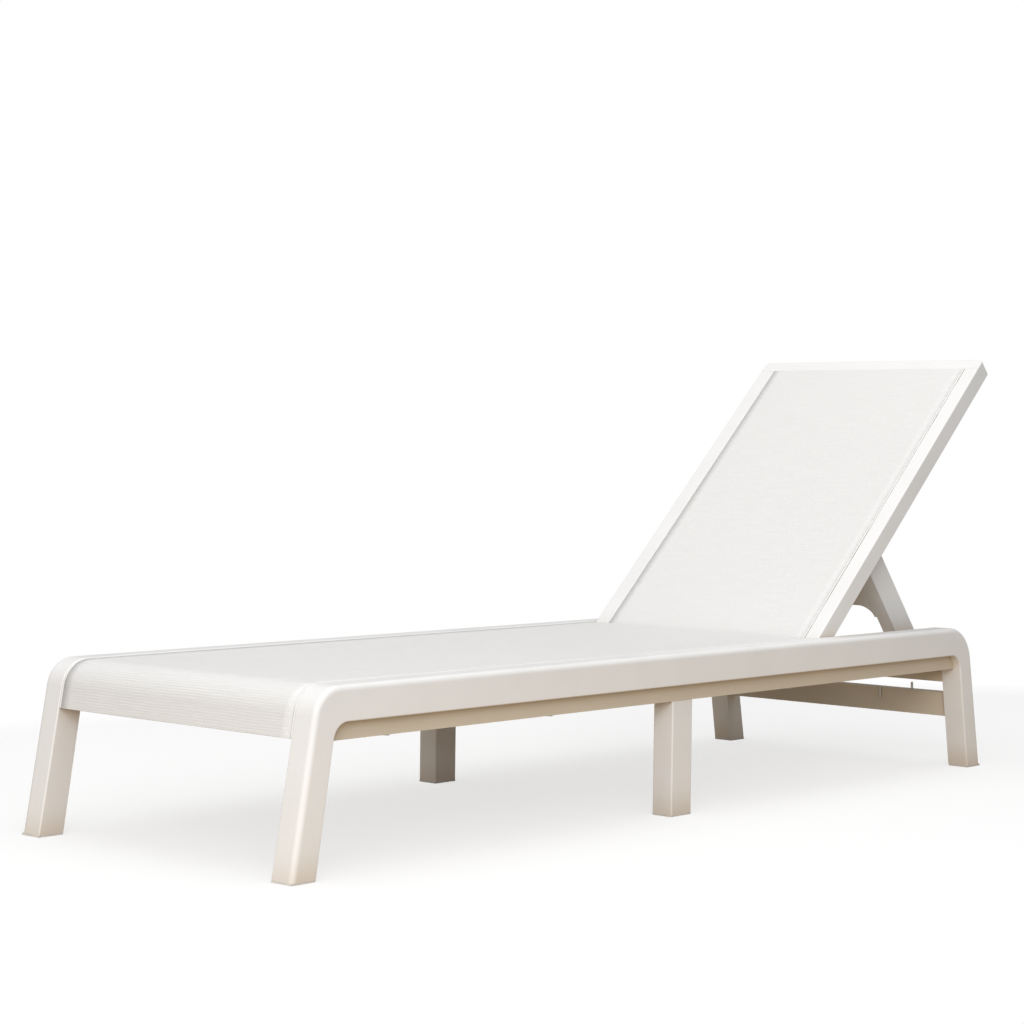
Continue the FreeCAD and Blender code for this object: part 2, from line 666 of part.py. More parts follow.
def make_bar(label, start, along, low, tall, half):
    """Square tube across the lounger from start to start + along."""
    wall = size("bar_wall")
    body = new_body(label)
    bar_across(body, square(start, start + along, low, low + tall), half * 2,
               hollow=inside(start, start + along, low, low + tall, wall))


def make_bars():
    """Bars that tie the two sides together."""
    low = size("inner_rail_bottom")
    front = new_body("front_crossbar")
    high = TOP - size("corner_front") - size("front_bar_drop")
    hem = high - size("front_bar_tall")
    wall, deep = size("bar_wall"), size("front_bar_along")
    bar_across(front, ((-leg_outer(hem, RAIL_SKIN), hem), (-leg_outer(hem, RAIL_SKIN + deep), hem),
                       (-leg_outer(high, RAIL_SKIN + deep), high),
                       (-leg_outer(high, RAIL_SKIN), high)), BETWEEN_RAILS * 2,
               hollow=((-leg_outer(hem + wall, RAIL_SKIN + wall), hem + wall),
                       (-leg_outer(hem + wall, RAIL_SKIN + deep - wall), hem + wall),
                       (-leg_outer(high - wall, RAIL_SKIN + deep - wall), high - wall),
                       (-leg_outer(high - wall, RAIL_SKIN + wall), high - wall)))
    along, tall = size("seat_bar_along"), size("seat_bar_tall")
    bar_low = low + size("inner_rail_wall")
    middle = size("middle_leg_place") - along / 2
    make_bar("seat_crossbar_middle", middle, along, bar_low, tall, BETWEEN_RAILS)
    make_bar("seat_crossbar_front", middle - size("seat_bar_place"), along, bar_low, tall,
             BETWEEN_RAILS)
    end_along, end_tall = size("end_bar_along"), size("end_bar_tall")
    make_bar("seat_crossbar_rear", RAIL_STEP - end_along, end_along,
             SLING_UNDER - size("end_bar_drop") - end_tall, end_tall, BETWEEN_RAILS)
    rear_tall = size("rear_bar_tall")
    rear_low = low - GAP - rear_tall
    make_bar("rear_crossbar", leg_inner(rear_low) + GAP, size("rear_bar_along"), rear_low,
             rear_tall, BETWEEN_FRAMES)
    stretcher_middle = (leg_outer(STRETCHER_MIDDLE_Z) + leg_inner(STRETCHER_MIDDLE_Z)) / 2
    thick = size("stretcher_along")
    make_bar("rear_stretcher", stretcher_middle - thick / 2, thick, size("stretcher_low"),
             size("stretcher_tall"), BETWEEN_FRAMES)
    radius = size("stud_radius")
    stud_x = stretcher_middle - thick / 2 - radius - GAP
    stretcher_top = size("stretcher_low") + size("stretcher_tall")
    inner_low = stretcher_top - size("stretcher_tall") / 2
    cylinders("stretcher_stud_inner", [(stud_x, -size("stud_inner"), inner_low)],
              [(radius, size("stretcher_tall") / 2 + size("stud_rise"))], V(0, 0, 1))
    cylinders("stretcher_stud_outer", [(stretcher_middle - thick / 4, -size("stud_outer"),
                                        stretcher_top + TOUCH)],
              [(radius, size("stud_tall"))], V(0, 0, 1))


def fabric_outline(outer, under):
    """Side view of the seat fabric: from the hem round the front corner to the rear edge."""
    hem, end = size("hem_height"), size("seat_end")
    return ((-leg_outer(hem, under), hem), front_corner(under), (end, TOP - under),
            (end, TOP - outer), front_corner(outer), (-leg_outer(hem, outer), hem))


def make_seat_fabric():
    """Seat fabric: over the rails, round the front corner and down to the hem."""
    outer, under = size("sling_drop"), size("sling_drop") + size("sling_thick")
    body = new_body("seat_sling")
    bar_across(body, fabric_outline(outer, under),
               (HALF_WIDTH - RAIL_FACE - size("bead_wide")) * 2)


def make_seat_bead(name, side):
    """Edge bead that holds the seat fabric in the slot beside the side frame."""
    outer, under = size("sling_drop") / 2, size("sling_drop") + size("sling_thick")
    wide = size("bead_wide") - GAP
    body = new_body(f"seat_edge_bead_{name}", 0, (HALF_WIDTH - RAIL_FACE - wide / 2) * side, 0)
    bar_across(body, fabric_outline(outer, under), wide)


NOTCH_STEPS = (1.5, 0.75, 0, -0.75)  # notches from the one in use, in steps of notch_step


def make_rack(name, side):
    """Rack on the inner rail: its notches lie under the path of the prop's foot bar."""
    half, deep, slope = size("rack_notch_half"), size("rack_notch_deep"), size("rack_notch_slope")
    clear = size("foot_bar_radius") + size("rack_gap")
    notches = [foot_bar_at(TILT + size("notch_step") * step) for step in NOTCH_STEPS]
    first_x, last_x = notches[0][0], notches[-1][0]
    low, end = size("rack_bottom"), size("rack_end")
    outline = [(last_x + end, low), (last_x + end, notches[-1][1] - clear - deep / 2)]
    for x, z in reversed(notches):
        outline += [(x + half, z - clear), (x + half - slope, z - clear - deep),
                    (x - half + slope, z - clear - deep), (x - half, z - clear)]
    outline += [(first_x - end, notches[0][1] - clear), (first_x - end, low)]
    y = HALF_WIDTH - RAIL_INNER - GAP - size("rack_wide") / 2
    body = new_body(f"rack_{name}", 0, y * side, 0)
    bar_across(body, outline, size("rack_wide"))


def make_buffer(name, side):
    """Rubber buffer on the inner rail, on which the back rail lies when it is flat."""
    low = size("inner_rail_rear_top") + TOUCH
    start = size("buffer_place") - size("buffer_along") / 2
    across = HALF_WIDTH - RAIL_FACE - size("inner_rail_wide") / 2
    body = new_body(f"rest_buffer_{name}", 0, across * side, 0)
    bar_across(body, square(start, start + size("buffer_along"), low,
                            HINGE_Z + BACK_REAR - GAP),
               size("inner_rail_wide") - size("buffer_margin") * 2)


def make_hinge_bracket(name, side):
    """Bracket on the inner rail with a lug for the hinge pin, inside the back rail."""
    low = size("inner_rail_bottom") + size("bracket_low")
    thick, radius = size("lug_thick"), size("lug_radius")
    lug_outer = BACK_INNER - size("lug_gap")
    lug_inner = lug_outer - thick
    body = new_body(f"hinge_bracket_{name}", HINGE_X, 0, 0)
    lug = new_sketch(body, f"{name}_lug", "XZ_Plane", (lug_inner + thick / 2) * -side)
    crown = radius - TOUCH
    add_loop(lug, ((-radius, low), (radius, low), (radius, HINGE_Z + radius, crown),
                   (-radius, HINGE_Z + radius, crown)))
    pad(body, lug, thick)
    reach = HALF_WIDTH - RAIL_INNER - GAP - lug_inner
    foot = new_sketch(body, f"{name}_bracket_foot", "XZ_Plane", (lug_inner + reach / 2) * -side)
    spread = radius + size("bracket_reach")
    add_box(foot, -spread, spread, low, size("inner_rail_rear_top") - size("bracket_drop"))
    pad(body, foot, reach)
    hole_across(body, 0, HINGE_Z, size("hinge_pin_radius") + size("screw_gap") / 2,
                size("overall_width") * 2)


def make_hinge_pin(name, side):
    """Hinge pin: a head inside the lug and a shank that ends in the back rail."""
    head_start = (BACK_INNER - size("lug_gap") - size("lug_thick") - GAP
                  - size("pin_head_thick"))
    shank = BACK_HALF - size("back_rail_wall") - head_start - size("pin_head_thick")
    pin_across(f"hinge_pin_{name}", HINGE_X, HINGE_Z,
               [(size("hinge_pin_radius") + size("pin_head_wide"), size("pin_head_thick")),
                (size("hinge_pin_radius"), shank)], side, head_start)


def make_frame_screws():
    """Screws up through the ledges into the side frames."""
    across = HALF_WIDTH - LEDGE_MIDDLE
    low = size("inner_rail_bottom") - size("screw_head_thick") - TOUCH
    places = [(x, across * side, low) for _, side in SIDES for x in SCREW_PLACES]
    shank = RAIL_BOTTOM + size("frame_wall") - size("inner_rail_bottom")
    cylinders("frame_screws", places, [(size("screw_head_radius"), size("screw_head_thick")),
                                       (size("screw_radius"), shank)], V(0, 0, 1))


# ---- back: rails, bars, fabric and bushes ---------------------------------------------------

HINGE_BUSH_BORE = size("hinge_pin_radius") + size("running_gap")
HINGE_BUSH = HINGE_BUSH_BORE + size("bush_wall")
PROP_BUSH_BORE = size("prop_pin_radius") + size("running_gap")
PROP_BUSH = PROP_BUSH_BORE + size("bush_wall")
PROP_PIN_HOLE = size("prop_pin_radius") + size("screw_gap") / 2


def make_back_rail(name, side):
    """Hollow rail of the back, drilled for the hinge bush and, from inside, the prop pin."""
    wide, wall = size("back_rail_wide"), size("back_rail_wall")
    body = back_body(f"back_rail_{name}", (BACK_HALF - wide / 2) * side)
    length = TOP_RAIL_START - GAP + size("back_tail")
    ring = new_sketch(body, f"{name}_back_ring", "YZ_Plane", length / 2 - size("back_tail"))
    soft = size("edge_soft")
    add_loop(ring, ((-wide / 2, BACK_REAR, soft), (wide / 2, BACK_REAR, soft),
                    (wide / 2, BACK_FACE, soft), (-wide / 2, BACK_FACE, soft)))
    add_loop(ring, inside(-wide / 2, wide / 2, BACK_REAR, BACK_FACE, wall))
    pad(body, ring, length)
    hole_across(body, 0, 0, HINGE_BUSH + size("running_gap"), wide * 2)
    reach = wide * 1.5 - wall / 2
    socket = new_sketch(body, f"{name}_prop_socket", "XZ_Plane", (reach - wide + wall) / 2 * side)
    add_circle(socket, size("prop_pivot_up"), -size("prop_pivot_in"), PROP_PIN_HOLE)
    pocket(body, socket, reach)


def make_back_end_cap(name, side):
    """Cap in the lower end of a back rail."""
    wide, wall, tail = size("back_rail_wide"), size("back_rail_wall"), size("back_tail")
    cap, stub = size("end_cap_thick"), size("end_cap_plug")
    body = back_body(f"back_end_cap_{name}", (BACK_HALF - wide / 2) * side)
    plate = new_sketch(body, f"{name}_cap_plate", "YZ_Plane", -tail - TOUCH - cap / 2)
    soft = size("edge_soft")
    add_loop(plate, ((-wide / 2, BACK_REAR, soft), (wide / 2, BACK_REAR, soft),
                     (wide / 2, BACK_FACE, soft), (-wide / 2, BACK_FACE, soft)))
    pad(body, plate, cap)
    stopper = new_sketch(body, f"{name}_cap_plug", "YZ_Plane", -tail - GAP + stub / 2)
    add_loop(stopper, inside(-wide / 2, wide / 2, BACK_REAR, BACK_FACE, wall + GAP))
    pad(body, stopper, stub)


def make_top_rail():
    """Top rail of the back, rounded at its corners and hollow from below."""
    wall, corner = size("back_rail_wall"), size("top_corner")
    end = size("back_length")
    body = back_body("back_top_rail")
    plan = new_sketch(body, "top_rail_plan", "XY_Plane", BACK_MIDDLE)
    add_loop(plan, ((TOP_RAIL_START, -BACK_HALF), (end, -BACK_HALF, corner),
                    (end, BACK_HALF, corner), (TOP_RAIL_START, BACK_HALF)))
    pad(body, plan, size("back_rail_deep"))
    start = TOP_RAIL_START.value

    def outer_edge(edge):
        """Whether an edge runs round the rail's outline, at its front or rear face."""
        point = middle_of(edge)
        flat = abs(edge.Vertexes[0].Point.z - edge.Vertexes[-1].Point.z) < 0.01
        return flat and point.x > start + 1

    round_edges(body, size("edge_soft"), outer_edge)
    hollow = new_sketch(body, "top_rail_hollow", "YZ_Plane", TOP_RAIL_START)
    add_loop(hollow, inside(-BACK_HALF, BACK_HALF, BACK_REAR, BACK_FACE, wall + corner / 2))
    pocket(body, hollow, (size("top_rail_wide") - wall * 2) * 2)


def make_back_bars():
    """Bars between the back rails, below and above the folded prop."""
    wide, deep, wall = size("back_bar_wide"), size("back_bar_deep"), size("bar_wall")
    for label, start in (("back_crossbar_lower", size("back_bar_low")),
                         ("back_crossbar_upper", size("back_length") - size("back_bar_high"))):
        low = BACK_REAR + size("back_bar_inset")
        body = back_body(label)
        bar_across(body, square(start, start + wide, low, low + deep), (BACK_INNER - GAP) * 2,
                   hollow=inside(start, start + wide, low, low + deep, wall))


def make_back_fabric():
    """Back fabric between the back rails."""
    start, end = size("back_sling_start"), TOP_RAIL_START - GAP
    bead = size("bead_wide")
    body = back_body("back_sling")
    bar_across(body, square(start, end, BACK_SLING_TOP - size("sling_thick"), BACK_SLING_TOP),
               (BACK_INNER - bead) * 2)


def make_back_bead(name, side):
    """Edge bead that holds the back fabric against its rail."""
    start, end, wide = size("back_sling_start"), TOP_RAIL_START - GAP, size("bead_wide") - GAP * 2
    body = back_body(f"back_edge_bead_{name}", (BACK_INNER - GAP - wide / 2) * side)
    bar_across(body, square(start, end, BACK_SLING_TOP - size("sling_thick"),
                            BACK_SLING_TOP + size("sling_thick") / 2), wide)


def make_bush(body, bore, outer, length):
    """Round bush about the body's Y axis."""
    ring = new_sketch(body, f"{body.Name}_ring", "XZ_Plane")
    add_circle(ring, 0, 0, outer)
    add_circle(ring, 0, 0, bore)
    pad(body, ring, length)


def make_pivots(name, side):
    """Hinge bush, prop pin and its spacer, which ride on the back, and the prop's own bush."""
    wide = size("back_rail_wide")
    hinge_bush = new_body(f"hinge_bush_{name}", HINGE_X, (BACK_HALF - wide / 2) * side, HINGE_Z)
    make_bush(hinge_bush, HINGE_BUSH_BORE, HINGE_BUSH, wide - size("bush_short"))
    pivot_x, pivot_z = pivot_at(TILT)
    spacer_start, spacer_end = PROP_OUTER + GAP, BACK_INNER - GAP
    spacer = new_body(f"prop_spacer_{name}", pivot_x, (spacer_start + spacer_end) / 2 * side,
                      pivot_z)
    make_bush(spacer, PROP_PIN_HOLE, PROP_PIN_HOLE + size("bush_wall"), spacer_end - spacer_start)
    pin_start = PROP_INNER + size("prop_pin_inset")
    pin_end = BACK_HALF - size("back_rail_wall") / 2 - GAP
    pin_across(f"prop_pin_{name}", pivot_x, pivot_z,
               [(size("prop_pin_radius"), pin_end - pin_start)], side, pin_start)
    bush = new_body(f"prop_bush_{name}", pivot_x, (PROP_INNER + PROP_OUTER) / 2 * side, pivot_z)
    make_bush(bush, PROP_BUSH_BORE, PROP_BUSH, size("prop_leg_wide") - size("bush_short"))


# ---- prop -----------------------------------------------------------------------------------

def make_prop_leg(name, side):
    """Deep plank of the prop, round at the pivot, hollowed from its inner side."""
    rear, front, wall = size("prop_rear"), size("prop_front"), size("prop_leg_wall")
    end = size("prop_length") + size("prop_end")
    body = prop_body(f"prop_leg_{name}", (PROP_INNER + PROP_OUTER) / 2 * side)
    outline = new_sketch(body, f"{name}_plank", "XZ_Plane")
    add_loop(outline, ((-rear, -rear, rear / 2), (size("web_start") - 2, -front, rear / 2),
                       (end, -front, size("prop_end")), (end, rear, size("prop_end")),
                       (-rear, rear, rear - TOUCH * 2)))
    pad(body, outline, size("prop_leg_wide"))
    inner_end = size("prop_length") - size("prop_end") - size("edge_soft")
    tray = new_sketch(body, f"{name}_plank_tray", "XZ_Plane",
                      (size("prop_leg_wide") / 2 - wall / 2) * side)
    add_loop(tray, ((rear * 2, rear - wall), (size("web_start") + wall * 2, wall - front),
                    (inner_end, wall - front), (inner_end, rear - wall)))
    pocket(body, tray, size("prop_leg_wide") * 2 - wall * 3)
    hole_across(body, 0, 0, PROP_BUSH + size("running_gap"), size("prop_leg_wide") * 2)
    hole_across(body, size("prop_length"), PROP_CENTRE, size("foot_bar_radius") + TOUCH,
                size("prop_leg_wide") * 2)


def make_prop_web():
    """Arched web between the prop legs, along their front faces."""
    half = PROP_INNER - GAP
    arch, haunch, corner = size("web_arch"), size("web_haunch_wide"), size("web_arch_round")
    tip = arch + size("web_haunch")
    body = prop_body("prop_web")
    plan = new_sketch(body, "web_plan", "XY_Plane", size("web_thick") / 2 - size("prop_front"))
    add_loop(plan, ((size("web_start"), -half), (tip, -half), (tip, haunch - half),
                    (arch, haunch - half, corner), (arch, half - haunch, corner),
                    (tip, half - haunch), (tip, half), (size("web_start"), half)))
    pad(body, plan, size("web_thick"))


def make_foot_bar():
    """Round bar through the prop's feet that sits in the racks."""
    x, z = foot_bar_at(TILT)
    half = HALF_WIDTH - RAIL_INNER - GAP - size("foot_bar_short")
    cylinders("prop_foot_bar", [(x, -half, z)], [(size("foot_bar_radius"), half * 2)], V(0, 1, 0))


# ---- build ----------------------------------------------------------------------------------

def build():
    """Make every sub-part."""
    for name, side in SIDES:
        make_side_frame(name, side)
        make_end_foot(name, side, "front", -1)
        make_end_foot(name, side, "rear", 1)
        make_middle_leg(name, side)
        make_inner_rail(name, side)
        make_seat_bead(name, side)
        make_rack(name, side)
        make_buffer(name, side)
        make_hinge_bracket(name, side)
        make_hinge_pin(name, side)
        make_back_rail(name, side)
        make_back_end_cap(name, side)
        make_back_bead(name, side)
        make_pivots(name, side)
        make_prop_leg(name, side)
    make_bars()
    make_seat_fabric()
    make_frame_screws()
    make_top_rail()
    make_back_bars()
    make_back_fabric()
    make_prop_web()
    make_foot_bar()


def check():
    """Stop if any feature failed or any sub-part is empty or broken."""
    doc.recompute()
    for item in doc.Objects:
        if "Invalid" in item.State or "Error" in item.State:
            raise RuntimeError(f"{item.Label} failed: {item.State}")
    for part in parts:
        if part.Shape.isNull() or not part.Shape.isValid() or not part.Shape.Solids:
            raise RuntimeError(f"{part.Label} has no valid solid")


def write():
    """One STEP file for each sub-part, named after its label."""
    os.makedirs("parts", exist_ok=True)
    for part in parts:
        part.Shape.exportStep(f"parts/{part.Label}.step")


build()
check()
write()
print(len(parts), "parts, origin shifted by", round(ORIGIN_X.value, 3))
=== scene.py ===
"""Looks of a reclining garden sun lounger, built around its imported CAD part.

The moulded frame keeps its CAD meshes and gets its finish here. The two slings, their welts and
their seams are new numpy surfaces, in metres and in the part's own frame: X runs from the foot end
to the head end, Z is up, and the lounger is the same on both sides of Y = 0.
"""

import json
import logging
import math
from dataclasses import dataclass, field
from enum import Enum

import bpy
import numpy as np
from mathutils import Matrix, Vector


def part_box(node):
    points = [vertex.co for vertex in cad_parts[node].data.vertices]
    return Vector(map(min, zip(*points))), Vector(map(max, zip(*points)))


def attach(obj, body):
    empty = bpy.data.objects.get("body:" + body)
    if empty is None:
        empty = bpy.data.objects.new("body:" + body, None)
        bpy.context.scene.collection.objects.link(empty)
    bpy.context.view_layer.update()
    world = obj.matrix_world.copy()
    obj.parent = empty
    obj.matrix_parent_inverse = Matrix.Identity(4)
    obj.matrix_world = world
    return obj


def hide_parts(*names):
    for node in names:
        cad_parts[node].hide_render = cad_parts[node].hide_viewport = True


Pair = tuple[float, float]
Triple = tuple[float, float, float]
Colour = Triple
Array = np.ndarray
Socket = bpy.types.NodeSocket
Node = bpy.types.Node
Tree = bpy.types.NodeTree
Piece = bpy.types.Object
Material = bpy.types.Material

LOG = logging.getLogger("sun_lounger")
MM = 0.001
LEG_LEAN = 53.3 / 290.0  # how far a splayed leg leans outwards for its height
FRONT_BEND = 50.0 * MM  # radius of the cloth's bend at the foot end
BACK_LIFT = 2.6 * MM  # the back's cloth above its CAD sling
ACROSS = np.array([0.0, 1.0, 0.0])

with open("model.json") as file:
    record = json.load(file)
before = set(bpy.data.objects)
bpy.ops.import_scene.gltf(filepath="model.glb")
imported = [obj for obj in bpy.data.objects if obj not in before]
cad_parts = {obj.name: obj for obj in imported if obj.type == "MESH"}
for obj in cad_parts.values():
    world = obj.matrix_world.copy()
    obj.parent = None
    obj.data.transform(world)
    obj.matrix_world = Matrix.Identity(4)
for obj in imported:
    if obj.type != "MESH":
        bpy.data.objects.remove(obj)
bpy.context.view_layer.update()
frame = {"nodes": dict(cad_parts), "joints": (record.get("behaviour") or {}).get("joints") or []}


class Body(Enum):
    """The bodies that pieces ride on."""

    FRAME = "frame"
    BACK = "back"


class Slot(Enum):
    """The record's material slots."""

    RESIN = "frame_resin"
    FABRIC = "sling_fabric"
    BEAD = "edge_bead"
    RUBBER = "foot_rubber"
    NYLON = "bush_nylon"
    STEEL = "steel"


class Look(Enum):
    """The finishes, each with the slot that it belongs to."""

    RESIN = ("outer", Slot.RESIN)
    # painted shade: a darker, warmer copy of the frame resin for the inner parts that sit in shade
    SHADED_INNER_RESIN = ("inner", Slot.RESIN)
    FABRIC = ("cloth", Slot.FABRIC)
    BEAD = ("tape", Slot.BEAD)
    RUBBER = ("sole", Slot.RUBBER)
    NYLON = ("bush", Slot.NYLON)
    STEEL = ("metal", Slot.STEEL)

    @property
    def word(self) -> str:
        """The finish in a word, for the log."""
        return self.value[0]

    @property
    def slot_name(self) -> str:
        """Name of the material slot that it belongs to."""
        return self.value[1].value


class Side(Enum):
    """The two long sides, with the sign of Y on each."""

    LEFT = -1
    RIGHT = 1

    @property
    def word(self) -> str:
        """The side's name as it stands at the end of node names."""
        return self.name.lower()


# ---- meshes ----


def grid_faces(rows: int, columns: int, wrap: bool = False) -> Array:
    """Quads of a grid whose points are numbered row by row.

    Args:
        rows: number of rows of points.
        columns: number of points in a row.
        wrap: whether the last column joins the first.

    Returns:
        Four point numbers for each quad, turned so that row x column points out.
    """
    last = columns if wrap else columns - 1
    row, column = np.meshgrid(np.arange(rows - 1), np.arange(last), indexing="ij")
    beside = (column + 1) % columns
    corners = (row * columns + column, (row + 1) * columns + column,
               (row + 1) * columns + beside, row * columns + beside)
    return np.stack([corner.ravel() for corner in corners], axis=1)


def make_mesh(name: str, points: Array, faces: list, chart: Array | None = None) -> Piece:
    """A smooth mesh object at the origin.

    Args:
        name: name of the piece.
        points: its points, one per row.
        faces: point numbers of each face.
        chart: place of each point on the flat cloth, in metres, which becomes the UV map.

    Returns:
        The new object, linked to the scene.
    """
    mesh = bpy.data.meshes.new(name)
    mesh.from_pydata(points.astype(float), [], [list(map(int, face)) for face in faces])
    mesh.update()
    mesh.polygons.foreach_set("use_smooth", np.ones(len(mesh.polygons), dtype=bool))
    if chart is not None:
        corner = np.zeros(len(mesh.loops), dtype=np.int32)
        mesh.loops.foreach_get("vertex_index", corner)
        layer = mesh.uv_layers.new(name="cloth")
        layer.data.foreach_set("uv", chart[corner].astype(np.float32).ravel())
    piece = bpy.data.objects.new(name, mesh)
    bpy.context.scene.collection.objects.link(piece)
    return piece


def tube(name: str, centre: Array, across: Array, up: Array, radius: Array, round_points: int,
         length: Array) -> Piece:
    """A closed tube: a circle carried along a path.

    A point at path row i and angle a lies at centre(i) + radius(i, a) (cos a across + sin a up(i)).

    Args:
        name: name of the piece.
        centre: path points, one per row.
        across: the unit vector that the circle's first axis follows, the same all along.
        up: the circle's second axis for each path point.
        radius: radius for each path row and angle.
        round_points: points round the circle.
        length: distance along the path for each row, for the UV map.

    Returns:
        The new object, with both ends capped.
    """
    angle = np.arange(round_points) / round_points * 2 * math.pi
    ring = (np.cos(angle)[None, :, None] * across[None, None, :]
            + np.sin(angle)[None, :, None] * up[:, None, :])
    points = centre[:, None, :] + ring * radius[:, :, None]
    rows = len(centre)
    chart = np.stack(np.broadcast_arrays(angle[None, :] / (2 * math.pi), length[:, None]), axis=-1)
    faces = [list(face) for face in grid_faces(rows, round_points, wrap=True)]
    first = list(range(round_points))
    end = list(range((rows - 1) * round_points, rows * round_points))
    faces += [first, end[::-1]]
    piece = make_mesh(name, points.reshape(-1, 3), faces, chart.reshape(-1, 2))
    if signed_volume(piece.data) < 0:
        piece.data.flip_normals()
    return piece


def signed_volume(mesh: bpy.types.Mesh) -> float:
    """Six times the volume of a closed mesh, negative where its faces point inwards."""
    mesh.calc_loop_triangles()
    points = np.zeros(len(mesh.vertices) * 3)
    mesh.vertices.foreach_get("co", points)
    corners = np.zeros(len(mesh.loop_triangles) * 3, dtype=np.int32)
    mesh.loop_triangles.foreach_get("vertices", corners)
    triangle = points.reshape(-1, 3)[corners.reshape(-1, 3)]
    return float(np.einsum("ij,ij->", triangle[:, 0], np.cross(triangle[:, 1], triangle[:, 2])))


def smooth_step(value: Array, start: float, end: float) -> Array:
    """Rises from 0 at start to 1 at end with level ends: 3t^2 - 2t^3 of the share t between them."""
    share = np.clip((value - start) / (end - start), 0, 1)
    return share * share * (3 - 2 * share)


# ---- shader nodes ----

MIX_SHARE, MIX_FIRST, MIX_SECOND, MIX_RESULT = 0, 6, 7, 2  # sockets of a Mix node for colours
NOISE_SPAN = (0.3, 0.7)  # the part of its range that a noise texture mostly fills


@dataclass
class Graph:
    """A node tree with short ways to add and join nodes."""

    tree: Tree

    def feed(self, node: Node, key: str | int, value: object) -> None:
        """Links a socket to one of a node's inputs, or sets that input to a value."""
        if isinstance(value, Socket):
            self.tree.links.new(value, node.inputs[key])
        else:
            node.inputs[key].default_value = value

    def add(self, kind: str, inputs: dict | None = None, **settings: object) -> Node:
        """Adds a node.

        Args:
            kind: node type, without its "ShaderNode" prefix.
            inputs: value or socket for each input, by name or number.
            settings: properties of the node.

        Returns:
            The node.
        """
        prefix = "" if kind.startswith("NodeGroup") else "ShaderNode"
        node = self.tree.nodes.new(prefix + kind)
        for name, value in settings.items():
            setattr(node, name, value)
        for key, value in (inputs or {}).items():
            self.feed(node, key, value)
        return node

    def math(self, operation: str, first: object, second: object = 0.0,
             clamp: bool = False) -> Socket:
        """Result of a Math node on two numbers or sockets."""
        node = self.add("Math", {0: first, 1: second}, operation=operation, use_clamp=clamp)
        return node.outputs[0]

    def blend(self, share: object, first: object, second: object) -> Socket:
        """Mixes two colours or sockets: 0 gives the first, 1 the second."""
        node = self.add("Mix", data_type="RGBA", clamp_factor=True)
        self.feed(node, MIX_SHARE, share)
        for key, colour in ((MIX_FIRST, first), (MIX_SECOND, second)):
            self.feed(node, key, (*colour, 1.0) if isinstance(colour, tuple) else colour)
        return node.outputs[MIX_RESULT]

    def ramp(self, value: Socket, low: float, high: float, out_low: float = 0.0,
             out_high: float = 1.0) -> Socket:
        """Maps low..high to out_low..out_high and holds it there outside that range."""
        node = self.add("MapRange", {0: value, 1: low, 2: high, 3: out_low, 4: out_high}, clamp=True)
        return node.outputs[0]

    def noise(self, vector: Socket, scale: float, detail: float = 2.0,
              roughness: float = 0.5) -> Socket:
        """Value of a noise texture."""
        node = self.add("TexNoise", {"Vector": vector, "Scale": scale, "Detail": detail,
                                     "Roughness": roughness})
        return node.outputs[0]

    def stretch(self, vector: Socket, factors: Triple) -> Socket:
        """A vector with each of its parts scaled on its own."""
        return self.add("Mapping", {"Vector": vector, "Scale": factors}).outputs[0]

    def group(self, made: Tree, inputs: dict) -> Node:
        """Places a node group with its own values."""
        return self.add("Group", inputs, node_tree=made)


def new_group(name: str, inputs: tuple, outputs: tuple) -> tuple[Graph, Node, Node]:
    """Starts a shader node group.

    Args:
        name: name of the group.
        inputs: (name, socket kind, default) for each input.
        outputs: (name, socket kind) for each output.

    Returns:
        Its graph, its input node and its output node.
    """
    tree = bpy.data.node_groups.new(name, "ShaderNodeTree")
    for label, kind, default in inputs:
        made = tree.interface.new_socket(label, in_out="INPUT", socket_type=f"NodeSocket{kind}")
        if default is not None:
            made.default_value = default
    for label, kind in outputs:
        tree.interface.new_socket(label, in_out="OUTPUT", socket_type=f"NodeSocket{kind}")
    graph = Graph(tree)
    return graph, graph.add("NodeGroupInput"), graph.add("NodeGroupOutput")


